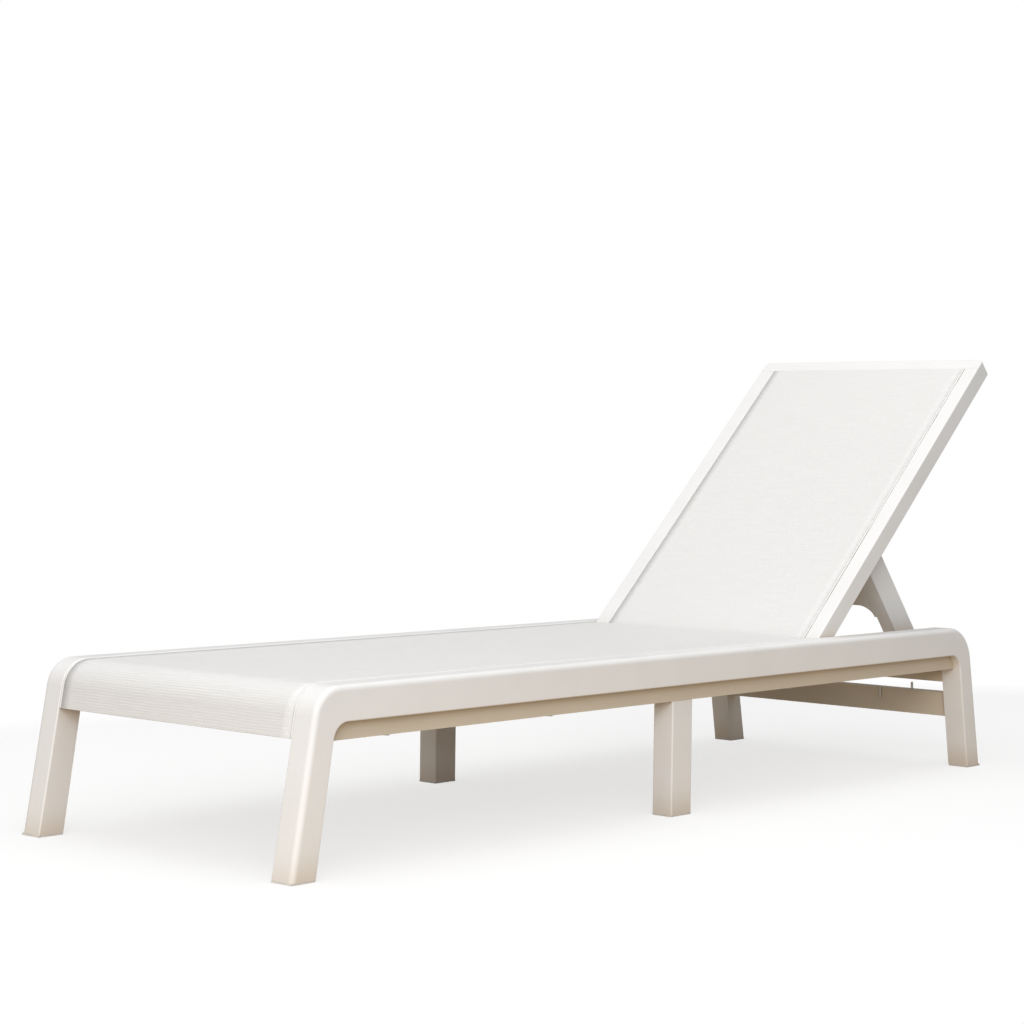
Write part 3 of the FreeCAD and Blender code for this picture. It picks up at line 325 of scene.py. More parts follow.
class Effects:
    """Shader node groups that several finishes share, each built once.

    A noise is given as its scale, detail and roughness; a span as the values where a mask starts
    and where it is full.
    """

    YARN_DIP = 0.45
    STREAK_SCALE = (14.0, 520.0, 1.0)
    STREAK_NOISE = (1.0, 3.0, 0.6)
    GAP_SPAN = (0.62, 0.9)
    PIT_DETAIL, PATCH_DETAIL, CELL_SHARE = 2.0, 4.0, 0.5
    BEND_SPAN = (0.99, 0.75)
    BREAKUP_NOISE = (60.0, 4.0, 0.6)
    BREAKUP_LEVELS = (0.4, 1.0)
    UPWARD_SPAN = (0.5, 1.0)
    LYING_LEVELS = (0.0, 0.35)
    SPECKLE_NOISE = (220.0, 5.0, 0.7)
    SPECKLE_SPAN = (0.42, 0.75)
    # ambient occlusion span over which the painted recess shade grows
    SKY_SPAN = (0.92, 0.4)

    def __init__(self) -> None:
        """Builds the groups."""
        self.weave = self.make_weave()
        self.grain = self.make_grain()
        # edge mask: edge wear, and also the mask of painted edge highlights
        self.wear = self.make_wear_and_highlight()
        self.dust = self.make_dust()
        # painted shade: recesses darkened and warmed through ambient occlusion
        self.shelter = self.make_painted_shade()

    def make_weave(self) -> Tree:
        """Plain weave of flat coated yarns.

        On cloth coordinates divided by the pitch, each cell holds a yarn that runs over the other
        one, in turn like a chequerboard. Its height is 1 - (2f)^2 across the yarn, f being the
        distance from its middle, and it falls off along the yarn, where it dips under.

        Returns:
            The group, with Height, Gap between yarns and Yarn tint.
        """
        graph, given, made = new_group(
            "Plain weave",
            (("Vector", "Vector", None), ("Pitch", "Float", 0.0013)),
            (("Height", "Float"), ("Gap", "Float"), ("Yarn", "Float")))
        turns = graph.math("DIVIDE", 1.0, given.outputs["Pitch"])
        cells = graph.add("VectorMath", {0: given.outputs["Vector"], "Scale": turns},
                          operation="SCALE")
        parts = graph.add("SeparateXYZ", {0: cells.outputs[0]})
        distances = []
        cell_numbers = []
        for axis in (0, 1):
            offset = graph.math("SUBTRACT", graph.math("FRACT", parts.outputs[axis]), 0.5)
            distances.append(graph.math("MULTIPLY", graph.math("ABSOLUTE", offset), 2.0))
            cell_numbers.append(graph.math("FLOOR", parts.outputs[axis]))
        chequer = graph.math("PINGPONG", graph.math("ADD", *cell_numbers), 1.0)
        heights = []
        for own, other in (distances, distances[::-1]):
            crown = graph.math("SUBTRACT", 1.0, graph.math("POWER", own, 2.0))
            dip = graph.math("SUBTRACT", 1.0, graph.math("MULTIPLY", other, self.YARN_DIP))
            heights.append(graph.math("MULTIPLY", crown, dip))
        along = graph.math("MULTIPLY", heights[0], chequer)
        across = graph.math("MULTIPLY", heights[1], graph.math("SUBTRACT", 1.0, chequer))
        near_edges = graph.math("MULTIPLY", *distances)
        streaks = graph.stretch(given.outputs["Vector"], self.STREAK_SCALE)
        graph.feed(made, "Height", graph.math("ADD", along, across))
        graph.feed(made, "Gap", graph.ramp(near_edges, *self.GAP_SPAN))
        graph.feed(made, "Yarn", graph.noise(streaks, *self.STREAK_NOISE))
        return graph.tree

    def make_grain(self) -> Tree:
        """Satin grain of a moulded surface: fine pits with a slow mottle over them.

        Returns:
            The group, with Height and Mottle.
        """
        graph, given, made = new_group(
            "Moulded grain",
            (("Vector", "Vector", None), ("Pits", "Float", 900.0), ("Patches", "Float", 9.0)),
            (("Height", "Float"), ("Mottle", "Float")))
        at, scale = given.outputs["Vector"], given.outputs["Pits"]
        pits = graph.noise(at, scale, self.PIT_DETAIL)
        cells = graph.add("TexVoronoi", {"Vector": at, "Scale": scale}).outputs[0]
        height = graph.math("ADD", pits, graph.math("MULTIPLY", cells, self.CELL_SHARE))
        graph.feed(made, "Height", height)
        graph.feed(made, "Mottle", graph.noise(at, given.outputs["Patches"], self.PATCH_DETAIL))
        return graph.tree

    def make_wear_and_highlight(self) -> Tree:
        """Edges that hands and weather have smoothed, which the finishes also paint lighter as a
        highlight.

        The mask grows as the cosine falls between the surface's normal and the normal of the same
        surface with its edges rounded, and noise breaks it up.

        Returns:
            The group, with an Edge mask.
        """
        graph, given, made = new_group(
            "Edge wear",
            (("Vector", "Vector", None), ("Radius", "Float", 0.003), ("Amount", "Float", 1.0)),
            (("Edge", "Float"),))
        rounded = graph.add("Bevel", {"Radius": given.outputs["Radius"]}, samples=4)
        true_normal = graph.add("NewGeometry")
        cosine = graph.add("VectorMath", {0: rounded.outputs[0], 1: true_normal.outputs["Normal"]},
                           operation="DOT_PRODUCT")
        bend = graph.ramp(cosine.outputs["Value"], *self.BEND_SPAN)
        breakup = graph.ramp(graph.noise(given.outputs["Vector"], *self.BREAKUP_NOISE),
                             *NOISE_SPAN, *self.BREAKUP_LEVELS)
        graph.feed(made, "Edge", graph.math("MULTIPLY", graph.math("MULTIPLY", bend, breakup),
                                            given.outputs["Amount"], clamp=True))
        return graph.tree

    def make_dust(self) -> Tree:
        """Dust that lies on upward faces and splashes up the legs from the ground.

        Returns:
            The group, with a Dust mask.
        """
        graph, given, made = new_group(
            "Dust",
            (("Vector", "Vector", None), ("Normal", "Vector", None), ("Reach", "Float", 0.05),
             ("Amount", "Float", 1.0)),
            (("Dust", "Float"),))
        height = graph.add("SeparateXYZ", {0: given.outputs["Vector"]}).outputs[2]
        upward = graph.add("SeparateXYZ", {0: given.outputs["Normal"]}).outputs[2]
        splash = graph.math("SUBTRACT", 1.0, graph.math("DIVIDE", height, given.outputs["Reach"]),
                            clamp=True)
        lying = graph.ramp(upward, *self.UPWARD_SPAN, *self.LYING_LEVELS)
        cover = graph.math("ADD", splash, lying, clamp=True)
        speckle = graph.ramp(graph.noise(given.outputs["Vector"], *self.SPECKLE_NOISE),
                             *self.SPECKLE_SPAN)
        graph.feed(made, "Dust", graph.math("MULTIPLY", graph.math("MULTIPLY", cover, speckle),
                                            given.outputs["Amount"], clamp=True))
        return graph.tree

    def make_painted_shade(self) -> Tree:
        """Painted shade: recesses, where nearby surfaces hide the sky, get a darker, warmer colour in
        place of the shade that falls there.

        The mask is the share of the sky that nearby surfaces hide, less a little, made steeper.

        Returns:
            The group, with a Hidden mask.
        """
        graph, given, made = new_group("Shelter", (("Reach", "Float", 0.07),), (("Hidden", "Float"),))
        sky = graph.add("AmbientOcclusion", {"Distance": given.outputs["Reach"]}, samples=8)
        graph.feed(made, "Hidden", graph.ramp(sky.outputs["AO"], *self.SKY_SPAN))
        return graph.tree


# ---- finishes ----


@dataclass(frozen=True)
class Finish:
    """What every finish has.

    tones are the shares of the colour in its darkest and lightest patches, grain the pits and
    patches per metre, bump the strength of its relief and depth the relief's height in metres.
    """

    name: str
    colour: Colour
    tones: Pair = (1.0, 1.0)
    grain: Pair = (900.0, 9.0)
    bump: float = 0.5
    depth: float = 0.0001

    def start(self, **values: object) -> tuple[Material, Graph, Node]:
        """Starts the material.

        Args:
            values: numbers for the Principled BSDF's own sockets, with _ for a space.

        Returns:
            The material, its graph and its Principled BSDF.
        """
        material = bpy.data.materials.new(self.name)
        material.use_nodes = True
        material.diffuse_color = (*self.colour, 1.0)
        graph = Graph(material.node_tree)
        graph.tree.nodes.clear()
        shader = graph.add("BsdfPrincipled")
        for key, value in values.items():
            shader.inputs[key.replace("_", " ")].default_value = value
        graph.add("OutputMaterial", {"Surface": shader.outputs[0]})
        return material, graph, shader

    def shade(self, factor: float) -> Colour:
        """The main colour made lighter or darker."""
        return tuple(min(1.0, part * factor) for part in self.colour)

    def tint(self, graph: Graph, share: Socket) -> Socket:
        """The main colour between its two tones."""
        return graph.blend(share, self.shade(self.tones[0]), self.shade(self.tones[1]))

    def grained(self, graph: Graph, effects: Effects, at: Socket) -> Node:
        """The shared grain at the finish's own scales."""
        return graph.group(effects.grain, {"Vector": at, "Pits": self.grain[0],
                                           "Patches": self.grain[1]})

    def connect(self, graph: Graph, shader: Node, colour: Socket, roughness: Socket,
                height: Socket) -> None:
        """Joins the colour and roughness to the shader, and a bump made from the height."""
        relief = graph.add("Bump", {"Height": height, "Strength": self.bump,
                                    "Distance": self.depth})
        graph.feed(shader, "Base Color", colour)
        graph.feed(shader, "Roughness", roughness)
        graph.feed(shader, "Normal", relief.outputs[0])


@dataclass(frozen=True)
class MouldedResin(Finish):
    """Matt moulded resin with a satin grain, smoother along its edges, with painted shade in its
    recesses and a painted highlight on its edges.
    """

    tones: Pair = (0.975, 1.015)
    depth: float = 0.00006
    dusty: Colour = (0.52, 0.47, 0.40)
    dustiness: float = 0.1
    dust_roughness: float = 0.3
    splash_reach: float = 0.05
    # painted shade: a darker, warmer colour blended into recesses by ambient occlusion, in place of
    # the shade there
    painted_shade_colour: Colour = (0.50, 0.37, 0.22)
    painted_shade_amount: float = 0.5
    painted_shade_reach: float = 0.07
    roughness: float = 0.46
    roughness_swing: float = 0.05
    # edges: smoother from wear, and lighter in colour as a painted highlight
    edge_radius: float = 0.003
    edge_wear_and_highlight: float = 0.8
    edge_highlight_tone: float = 1.08
    edge_polish: float = 0.12

    def build(self, effects: Effects) -> Material:
        """Builds the material from grain, painted recess shade, edge wear with a painted highlight,
        and dust.
        """
        material, graph, shader = self.start(IOR=1.5, Specular_IOR_Level=0.38,
                                             Coat_Weight=0.02, Coat_Roughness=0.4)
        place_in = graph.add("TexCoord")
        at = place_in.outputs["Object"]
        grain = self.grained(graph, effects, at)
        edge = graph.group(effects.wear, {"Vector": at, "Radius": self.edge_radius,
                                          "Amount": self.edge_wear_and_highlight}).outputs["Edge"]
        dust = graph.group(effects.dust, {"Vector": at, "Normal": place_in.outputs["Normal"],
                                          "Reach": self.splash_reach,
                                          "Amount": self.dustiness}).outputs["Dust"]
        # painted shade in recesses, from ambient occlusion
        shelter = graph.group(effects.shelter, {"Reach": self.painted_shade_reach})
        base = self.tint(graph, graph.ramp(grain.outputs["Mottle"], *NOISE_SPAN))
        painted_shade_share = graph.math("MULTIPLY", shelter.outputs["Hidden"], self.painted_shade_amount)
        painted_shaded = graph.blend(painted_shade_share, base, self.painted_shade_colour)
        # painted highlight: edges lightened in colour
        clean = graph.blend(edge, painted_shaded, self.shade(self.edge_highlight_tone))
        matt = graph.ramp(grain.outputs["Mottle"], *NOISE_SPAN,
                          self.roughness - self.roughness_swing,
                          self.roughness + self.roughness_swing)
        polished = graph.math("SUBTRACT", matt, graph.math("MULTIPLY", edge, self.edge_polish))
        dull = graph.math("MULTIPLY", dust, self.dust_roughness)
        self.connect(graph, shader, graph.blend(dust, clean, self.dusty),
                     graph.math("ADD", polished, dull), grain.outputs["Height"])
        return material


@dataclass(frozen=True)
class SlingWeave(Finish):
    """Coated polyester sling: flat yarns, tiny gaps, faint streaks along the cross yarns."""

    tones: Pair = (0.955, 1.02)
    bump: float = 0.7
    depth: float = 0.00022
    pitch: float = 0.00125
    gap: Colour = (0.60, 0.58, 0.55)
    gap_share: float = 0.7
    thread_height: float = 1.6
    cloud_noise: Pair = (7.0, 3.0)
    cloud_span: tuple[float, ...] = (0.35, 0.65, 0.0, 0.35)
    cloud_tone: float = 0.97
    roughness: tuple[float, ...] = (0.2, 0.8, 0.52, 0.68)

    def build(self, effects: Effects) -> Material:
        """Builds the material from the weave on the cloth's own UV map."""
        material, graph, shader = self.start(IOR=1.46, Sheen_Weight=0.12, Sheen_Roughness=0.5,
                                             Specular_IOR_Level=0.4)
        cloth = graph.add("UVMap", uv_map="cloth").outputs[0]
        at = graph.add("TexCoord").outputs["Object"]
        weave = graph.group(effects.weave, {"Vector": cloth, "Pitch": self.pitch})
        yarn = self.tint(graph, graph.ramp(weave.outputs["Yarn"], *NOISE_SPAN))
        clouds = graph.ramp(graph.noise(at, *self.cloud_noise), *self.cloud_span)
        cloudy = graph.blend(clouds, yarn, self.shade(self.cloud_tone))
        gaps = graph.math("MULTIPLY", weave.outputs["Gap"], self.gap_share)
        threads = graph.math("MULTIPLY", weave.outputs["Yarn"], self.thread_height)
        self.connect(graph, shader, graph.blend(gaps, cloudy, self.gap),
                     graph.ramp(weave.outputs["Yarn"], *self.roughness),
                     graph.math("ADD", weave.outputs["Height"], threads))
        return material


@dataclass(frozen=True)
class WeltTape(Finish):
    """Cloth tape round the edge cord: threads that wind round it."""

    tones: Pair = (0.9, 1.02)
    grain: Pair = (700.0, 20.0)
    bump: float = 0.6
    threads_per_metre: float = 900.0
    threads_round: float = 2.0
    patch_levels: Pair = (0.5, 1.0)
    roughness: Pair = (0.66, 0.5)

    def build(self, effects: Effects) -> Material:
        """Builds the material from threads on the cord's own UV map and the shared grain."""
        material, graph, shader = self.start(IOR=1.46, Sheen_Weight=0.1, Sheen_Roughness=0.5)
        round_cord = graph.add("UVMap", uv_map="cloth").outputs[0]
        parts = graph.add("SeparateXYZ", {0: round_cord})
        turned = graph.math("ADD", graph.math("MULTIPLY", parts.outputs[1], self.threads_per_metre),
                            graph.math("MULTIPLY", parts.outputs[0], self.threads_round))
        thread = graph.math("ABSOLUTE", graph.math("SINE", graph.math("MULTIPLY", turned, math.pi)))
        grain = self.grained(graph, effects, graph.add("TexCoord").outputs["Object"])
        patches = graph.ramp(grain.outputs["Mottle"], *NOISE_SPAN, *self.patch_levels)
        share = graph.math("MULTIPLY", thread, patches)
        self.connect(graph, shader, self.tint(graph, share),
                     graph.ramp(share, 0.0, 1.0, *self.roughness), thread)
        return material


@dataclass(frozen=True)
class SoftSole(Finish):
    """Pale moulded rubber of the feet, scuffed where it meets the ground."""

    tones: Pair = (0.93, 1.03)
    grain: Pair = (500.0, 40.0)
    bump: float = 0.6
    scuffed: Colour = (0.42, 0.38, 0.33)
    scuff_reach: float = 0.006
    scuffing: float = 0.7
    roughness: Pair = (0.68, 0.82)

    def build(self, effects: Effects) -> Material:
        """Builds the material from grain and dust."""
        material, graph, shader = self.start(IOR=1.5, Specular_IOR_Level=0.35)
        place_in = graph.add("TexCoord")
        at = place_in.outputs["Object"]
        grain = self.grained(graph, effects, at)
        dust = graph.group(effects.dust, {"Vector": at, "Normal": place_in.outputs["Normal"],
                                          "Reach": self.scuff_reach, "Amount": self.scuffing})
        base = self.tint(graph, graph.ramp(grain.outputs["Mottle"], *NOISE_SPAN))
        self.connect(graph, shader, graph.blend(dust.outputs["Dust"], base, self.scuffed),
                     graph.ramp(grain.outputs["Mottle"], *NOISE_SPAN, *self.roughness),
                     grain.outputs["Height"])
        return material


@dataclass(frozen=True)
class BushNylon(Finish):
    """Natural nylon of the bushes and spacers, with turning lines round it."""

    tones: Pair = (0.94, 1.03)
    grain: Pair = (800.0, 60.0)
    bump: float = 0.4
    depth: float = 0.00005
    line_scale: Triple = (20.0, 1800.0, 20.0)
    roughness: Pair = (0.36, 0.5)

    def build(self, effects: Effects) -> Material:
        """Builds the material from fine lines and the shared grain."""
        material, graph, shader = self.start(IOR=1.53)
        at = graph.add("TexCoord").outputs["Object"]
        lines = graph.noise(graph.stretch(at, self.line_scale), 1.0)
        grain = self.grained(graph, effects, at)
        self.connect(graph, shader, self.tint(graph, grain.outputs["Mottle"]),
                     graph.ramp(lines, *NOISE_SPAN, *self.roughness), lines)
        return material


@dataclass(frozen=True)
class StainlessSteel(Finish):
    """Brushed stainless steel of pins, screws and the foot bar."""

    tones: Pair = (0.86, 1.06)
    bump: float = 0.3
    depth: float = 0.00003
    brush_scale: Triple = (900.0, 25.0, 900.0)
    brush_detail: float = 3.0
    # edges lightened in colour: rubbed metal and a painted highlight
    edge_radius: float = 0.0008
    edge_wear_and_highlight: float = 1.0
    edge_highlight_tone: float = 1.25
    roughness: Pair = (0.24, 0.4)

    def build(self, effects: Effects) -> Material:
        """Builds the material from brush lines across the lounger and rubbed edges, painted lighter as
        a highlight.
        """
        material, graph, shader = self.start(Metallic=1.0)
        at = graph.add("TexCoord").outputs["Object"]
        brushed = graph.noise(graph.stretch(at, self.brush_scale), 1.0, self.brush_detail)
        wear = graph.group(effects.wear, {"Vector": at, "Radius": self.edge_radius,
                                          "Amount": self.edge_wear_and_highlight})
        # painted highlight on the rubbed edges
        rubbed_and_highlighted = graph.blend(wear.outputs["Edge"], self.tint(graph, brushed),
                             self.shade(self.edge_highlight_tone))
        self.connect(graph, shader, rubbed_and_highlighted, graph.ramp(brushed, *NOISE_SPAN, *self.roughness),
                     brushed)
        return material


@dataclass(frozen=True)
class Palette:
    """The finished materials, one for each look."""

    effects: Effects
    made: dict = field(default_factory=dict)

    def __getitem__(self, look: Look) -> Material:
        """The material of a look, built when it is first asked for."""
        if look not in self.made:
            finishes = {
                Look.RESIN: MouldedResin("Frame resin", (0.835, 0.828, 0.818)),
                # painted shade: the frame resin made darker and warmer for the parts that lie in shade
                Look.SHADED_INNER_RESIN: MouldedResin("Inner resin with painted shade", (0.66, 0.585, 0.475)),
                Look.FABRIC: SlingWeave("Sling weave", (0.80, 0.792, 0.778)),
                Look.BEAD: WeltTape("Welt tape", (0.85, 0.845, 0.835)),
                Look.RUBBER: SoftSole("Sole rubber", (0.70, 0.68, 0.65)),
                Look.NYLON: BushNylon("Bush nylon", (0.74, 0.73, 0.70)),
                Look.STEEL: StainlessSteel("Stainless steel", (0.60, 0.59, 0.57)),
            }
            self.made[look] = finishes[look].build(self.effects)
        return self.made[look]


def place(piece: Piece, body: Body, look: Look, palette: Palette,
          *stands_for: str) -> None:
    """Dresses a new piece, lets it ride on its body and hides the CAD nodes that it stands for.

    Args:
        piece: the new piece.
        body: the body that it rides on.
        look: its finish.
        palette: the materials.
        stands_for: names of the CAD nodes that it replaces.
    """
    piece.data.materials.append(palette[look])
    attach(piece, body.value)
    look.slot_name
    if stands_for:
        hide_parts(*stands_for)
    LOG.info("%s: %d faces, rides on %s", piece.name, len(piece.data.polygons), body.value)


# ---- slings ----


@dataclass
class Profile:
    """The line that a sling follows lengthwise: places and outward normals at given lengths."""

    length: float

    def at(self, run: Array) -> tuple[Array, Array]:
        """Points and outward normals, both in the plane Y = 0, at distances along the line."""
        raise NotImplementedError


@dataclass
class SeatProfile(Profile):
    """Up the front legs' slope from the hem, round the front corner and level to the seat's end.

    The corner is an arc tangent to the sloping line and to the level one.
    """

    hem: Pair
    top: float
    end: float
    lean: float
    radius: float
    length: float = field(init=False)

    def __post_init__(self) -> None:
        """Works out where the sloping line, the arc and the level line meet."""
        slant = math.hypot(1, self.lean)
        self.rise = np.array([self.lean, 1]) / slant
        self.inward = np.array([1, -self.lean]) / slant
        centre_z = self.top - self.radius
        centre_x = self.hem[0] + self.lean * (centre_z - self.hem[1]) + self.radius * slant
        self.centre = np.array([centre_x, centre_z])
        bend_start = self.centre - self.radius * self.inward
        self.straight = float(np.linalg.norm(bend_start - np.array(self.hem)))
        self.turn = math.atan2(1, self.lean)
        self.arc = self.radius * self.turn
        self.length = self.straight + self.arc + self.end - centre_x

    def at(self, run: Array) -> tuple[Array, Array]:
        """Points and outward normals at distances along the line, from the hem."""
        up_slope = run < self.straight
        level = run > self.straight + self.arc
        angle = self.turn - (run - self.straight) / self.radius
        heading = np.where(up_slope, self.turn, np.where(level, 0.0, angle))
        normal = np.stack([-np.sin(heading), np.cos(heading)], axis=1)
        bend = self.centre + self.radius * normal
        slope = np.array(self.hem) + run[:, None] * self.rise
        flat = np.stack([self.end - self.length + run, np.full_like(run, self.top)], axis=1)
        place_2d = np.where(up_slope[:, None], slope, np.where(level[:, None], flat, bend))
        point = np.stack([place_2d[:, 0], np.zeros_like(run), place_2d[:, 1]], axis=1)
        return point, np.stack([normal[:, 0], np.zeros_like(run), normal[:, 1]], axis=1)


@dataclass
class BackAxes:
    """The back's own axes: u up the back from the hinge, v across, w out of its front face."""

    hinge: Vector
    tilt: float

    def unit(self, letter: str) -> Array:
        """The unit vector of u or w."""
        cosine, sine = math.cos(self.tilt), math.sin(self.tilt)
        return np.array([cosine, 0, sine]) if letter == "u" else np.array([-sine, 0, cosine])

    def box(self, node: str) -> tuple[Array, Array]:
        """Lowest and highest (u, v, w) of a CAD node."""
        mesh = frame["nodes"][node].data
        points = np.zeros(len(mesh.vertices) * 3)
        mesh.vertices.foreach_get("co", points)
        points = points.reshape(-1, 3) - np.array(self.hinge)
        own = np.stack([points @ self.unit("u"), points[:, 1], points @ self.unit("w")], axis=1)
        return own.min(axis=0), own.max(axis=0)


@dataclass
class BackProfile(Profile):
    """Straight up the back at a fixed height over the hinge."""

    axes: BackAxes
    start: float
    height: float

    def at(self, run: Array) -> tuple[Array, Array]:
        """Points and outward normals at distances along the line, from its lower edge."""
        up, out = self.axes.unit("u"), self.axes.unit("w")
        point = np.array(self.axes.hinge) + (self.start + run)[:, None] * up + self.height * out
        return point, np.broadcast_to(out, point.shape).copy()


@dataclass
class Sling:
    """A stretched sling with cross ribs, hems, edge welts and seams."""

    label: str
    body: Body
    profile: Profile
    half_width: float
    welt_line: float
    rests_on: tuple[str, ...]
    rib_pitch: float = 4.6 * MM
    rib_depth: float = 0.27 * MM
    points_per_rib: int = 4
    columns: int = 27
    thickness: float = 1.3 * MM
    sag: float = 5.0 * MM
    sag_ends: Pair = (0.0, 0.0)
    welt_radius: float = 1.85 * MM
    welt_drop: float = 0.3 * MM
    seam_inset: float = 8.0 * MM
    hem_fold: float = 22.0 * MM
    stitch_pitch: float = 5.0 * MM
    stitch_length: float = 3.4 * MM
    stitch_radius: float = 0.4 * MM
    stitch_sides: int = 6
    stitch_shares: tuple[float, ...] = (0.06, 0.3, 0.7, 0.94)
    stitch_proud: float = 0.2
    rib_drift: tuple[tuple[float, ...], ...] = ((0.12, 23.0, 3.1), (0.08, 61.0, -7.0))
    bay_rise: float = 0.25
    pucker_depth: float = 0.12 * MM
    pucker_fade: float = 12.0 * MM
    pucker_pitch: float = 34.0 * MM
    pucker_slant: float = 9.0
    welt_step: float = 2.0 * MM
    welt_points: int = 12
    winding_depth: float = 0.06 * MM
    winding_pitch: float = 12.0 * MM

    def relief(self, run: Array, across: Array) -> Array:
        """How far the cloth lies in from its profile.

        Three parts add up: cross ribs, a cosine of the distance along the cloth whose phase drifts
        slightly across it; the sag, a parabola across the width times a bay shape along it; and
        slow puckers beside the welts.

        Args:
            run: distances along the cloth.
            across: distances from the middle, of a shape that fits them.

        Returns:
            Depth for each pair of distances.
        """
        drift = sum(share * np.sin(across * sideways + run * onward)
                    for share, sideways, onward in self.rib_drift)
        ribs = 0.5 - 0.5 * np.cos(2 * math.pi * (run / self.rib_pitch + drift))
        start, end = self.sag_ends
        bay = (smooth_step(run, start, start + self.bay_rise)
               * smooth_step(self.profile.length - run, end, end + self.bay_rise))
        belly = self.sag * (1 - (across / self.half_width) ** 2) * bay
        near_edge = np.exp(-(self.half_width - np.abs(across)) / self.pucker_fade)
        wave = np.sin(run * 2 * math.pi / self.pucker_pitch + across * self.pucker_slant)
        pucker = self.pucker_depth * near_edge * (1 + wave)
        return self.rib_depth * ribs + belly + pucker

    def surface(self, run: Array, across: Array) -> Array:
        """Points of the cloth's upper face: profile point plus width, less relief along its normal.

        Args:
            run: distance along the cloth for each row.
            across: distance from the middle for each column.

        Returns:
            Points, rows by columns by three.
        """
        line, normal = self.profile.at(run)
        points = np.repeat(line[:, None, :], len(across), axis=1)
        points[:, :, 1] = across[None, :]
        depth = self.relief(run[:, None], across[None, :])
        return points - depth[:, :, None] * normal[:, None, :]

    def make_cloth(self) -> Piece:
        """Makes the cloth, one grid of points with a real thickness below it."""
        ribs = round(self.profile.length / self.rib_pitch)
        run = np.linspace(0, self.profile.length, ribs * self.points_per_rib + 1)
        across = np.linspace(-self.half_width, self.half_width, self.columns)
        points = self.surface(run, across)
        chart = np.stack(np.broadcast_arrays(across[None, :], run[:, None]), axis=-1)
        faces = grid_faces(len(run), len(across))[:, ::-1]
        cloth = make_mesh(f"{self.label}_fabric", points.reshape(-1, 3), faces, chart.reshape(-1, 2))
        solid = cloth.modifiers.new("thickness", "SOLIDIFY")
        solid.thickness = self.thickness
        solid.offset = -1.0
        return cloth

    def make_welt(self, side: Side) -> Piece:
        """Makes one side's corded edge, with windings that stand slightly proud."""
        steps = round(self.profile.length / self.welt_step)
        run = np.linspace(0, self.profile.length, steps + 1)
        line, normal = self.profile.at(run)
        centre = line - self.welt_drop * normal
        centre[:, 1] = self.welt_line * side.value
        angle = np.arange(self.welt_points) / self.welt_points * 2 * math.pi
        winding = self.winding_depth * np.cos(
            2 * angle[None, :] + run[:, None] * 2 * math.pi / self.winding_pitch)
        return tube(f"{self.label}_welt_{side.word}", centre, ACROSS, normal,
                    self.welt_radius - self.winding_depth + winding, self.welt_points, run)

    def stitch_rows(self) -> list[tuple[Array, Array, float, float]]:
        """Distances along and across each seam, beside both welts and at each hem, and its heading."""
        ends = self.seam_inset
        along = np.arange(ends, self.profile.length - ends, self.stitch_pitch)
        edge = self.half_width - self.seam_inset
        rows = [(along, np.full_like(along, edge * side.value), 1.0, 0.0) for side in Side]
        over = np.arange(-edge, edge, self.stitch_pitch)
        for run in (self.hem_fold, self.profile.length - self.hem_fold):
            rows.append((np.full_like(over, run), over, 0.0, 1.0))
        return rows

    def make_stitches(self) -> Piece:
        """Makes the seams as one piece, each stitch a short spindle.

        A stitch's ring at share t of its length has the radius r sin(pi t)^0.5, and every stitch is
        the same spindle moved to its place and turned along its seam.

        Returns:
            All stitches.
        """
        share = np.array(self.stitch_shares)
        sides = self.stitch_sides
        angle = np.arange(sides) / sides * 2 * math.pi
        radius = self.stitch_radius * np.sqrt(np.sin(math.pi * share))
        lift = np.sin(angle)[None, :] * radius[:, None]
        wide = np.cos(angle)[None, :] * radius[:, None]
        long = np.repeat(((share - 0.5) * self.stitch_length)[:, None], sides, axis=1)
        spindle = [list(face) for face in grid_faces(len(share), sides, wrap=True)]
        count = len(share) * sides
        spindle += [list(range(sides)), list(range(count - 1, count - sides - 1, -1))]
        points, faces = [], []
        for run, across, forward, sideways in self.stitch_rows():
            line, normal = self.profile.at(run)
            tangent = np.stack([normal[:, 2], np.zeros(len(run)), -normal[:, 0]], axis=1)
            beside = np.broadcast_to(ACROSS, tangent.shape)
            ahead = tangent * forward + beside * sideways
            flank = beside * forward - tangent * sideways
            depth = self.relief(run, across) - self.stitch_radius * self.stitch_proud
            centre = line - depth[:, None] * normal
            centre[:, 1] = across
            made = (centre[:, None, None, :] + long[None, :, :, None] * ahead[:, None, None, :]
                    + wide[None, :, :, None] * flank[:, None, None, :]
                    + lift[None, :, :, None] * normal[:, None, None, :])
            first = sum(len(block) for block in points)
            points.append(made.reshape(-1, 3))
            faces += [[corner + first + number * count for corner in face]
                      for number in range(len(run)) for face in spindle]
        piece = make_mesh(f"{self.label}_stitches", np.concatenate(points), faces)
        if signed_volume(piece.data) < 0:
            piece.data.flip_normals()
        return piece

    def build(self, palette: Palette) -> None:
        """Makes and dresses the cloth, its welts and its seams."""
        cloth = self.make_cloth()
        place(cloth, self.body, Look.FABRIC, palette, f"{self.label}_sling")
        stitches = self.make_stitches()
        place(stitches, self.body, Look.BEAD, palette)
        for side in Side:
            welt = self.make_welt(side)
            place(welt, self.body, Look.BEAD, palette, f"{self.label}_edge_bead_{side.word}")


def seat_sling() -> Sling:
    """The seat's sling, placed by the CAD's own seat sling and edge bead."""
    low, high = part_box("seat_sling")
    bead_low, bead_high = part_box("seat_edge_bead_right")
    profile = SeatProfile(hem=(low.x, low.z), top=high.z, end=high.x, lean=LEG_LEAN,
                          radius=FRONT_BEND)
    return Sling("seat", Body.FRAME, profile, half_width=high.y,
                 welt_line=(bead_low.y + bead_high.y) / 2, sag_ends=(0.12, 0.03),
                 rests_on=("side_frame_left", "side_frame_right", "seat_crossbar_rear",
                           "front_crossbar"))


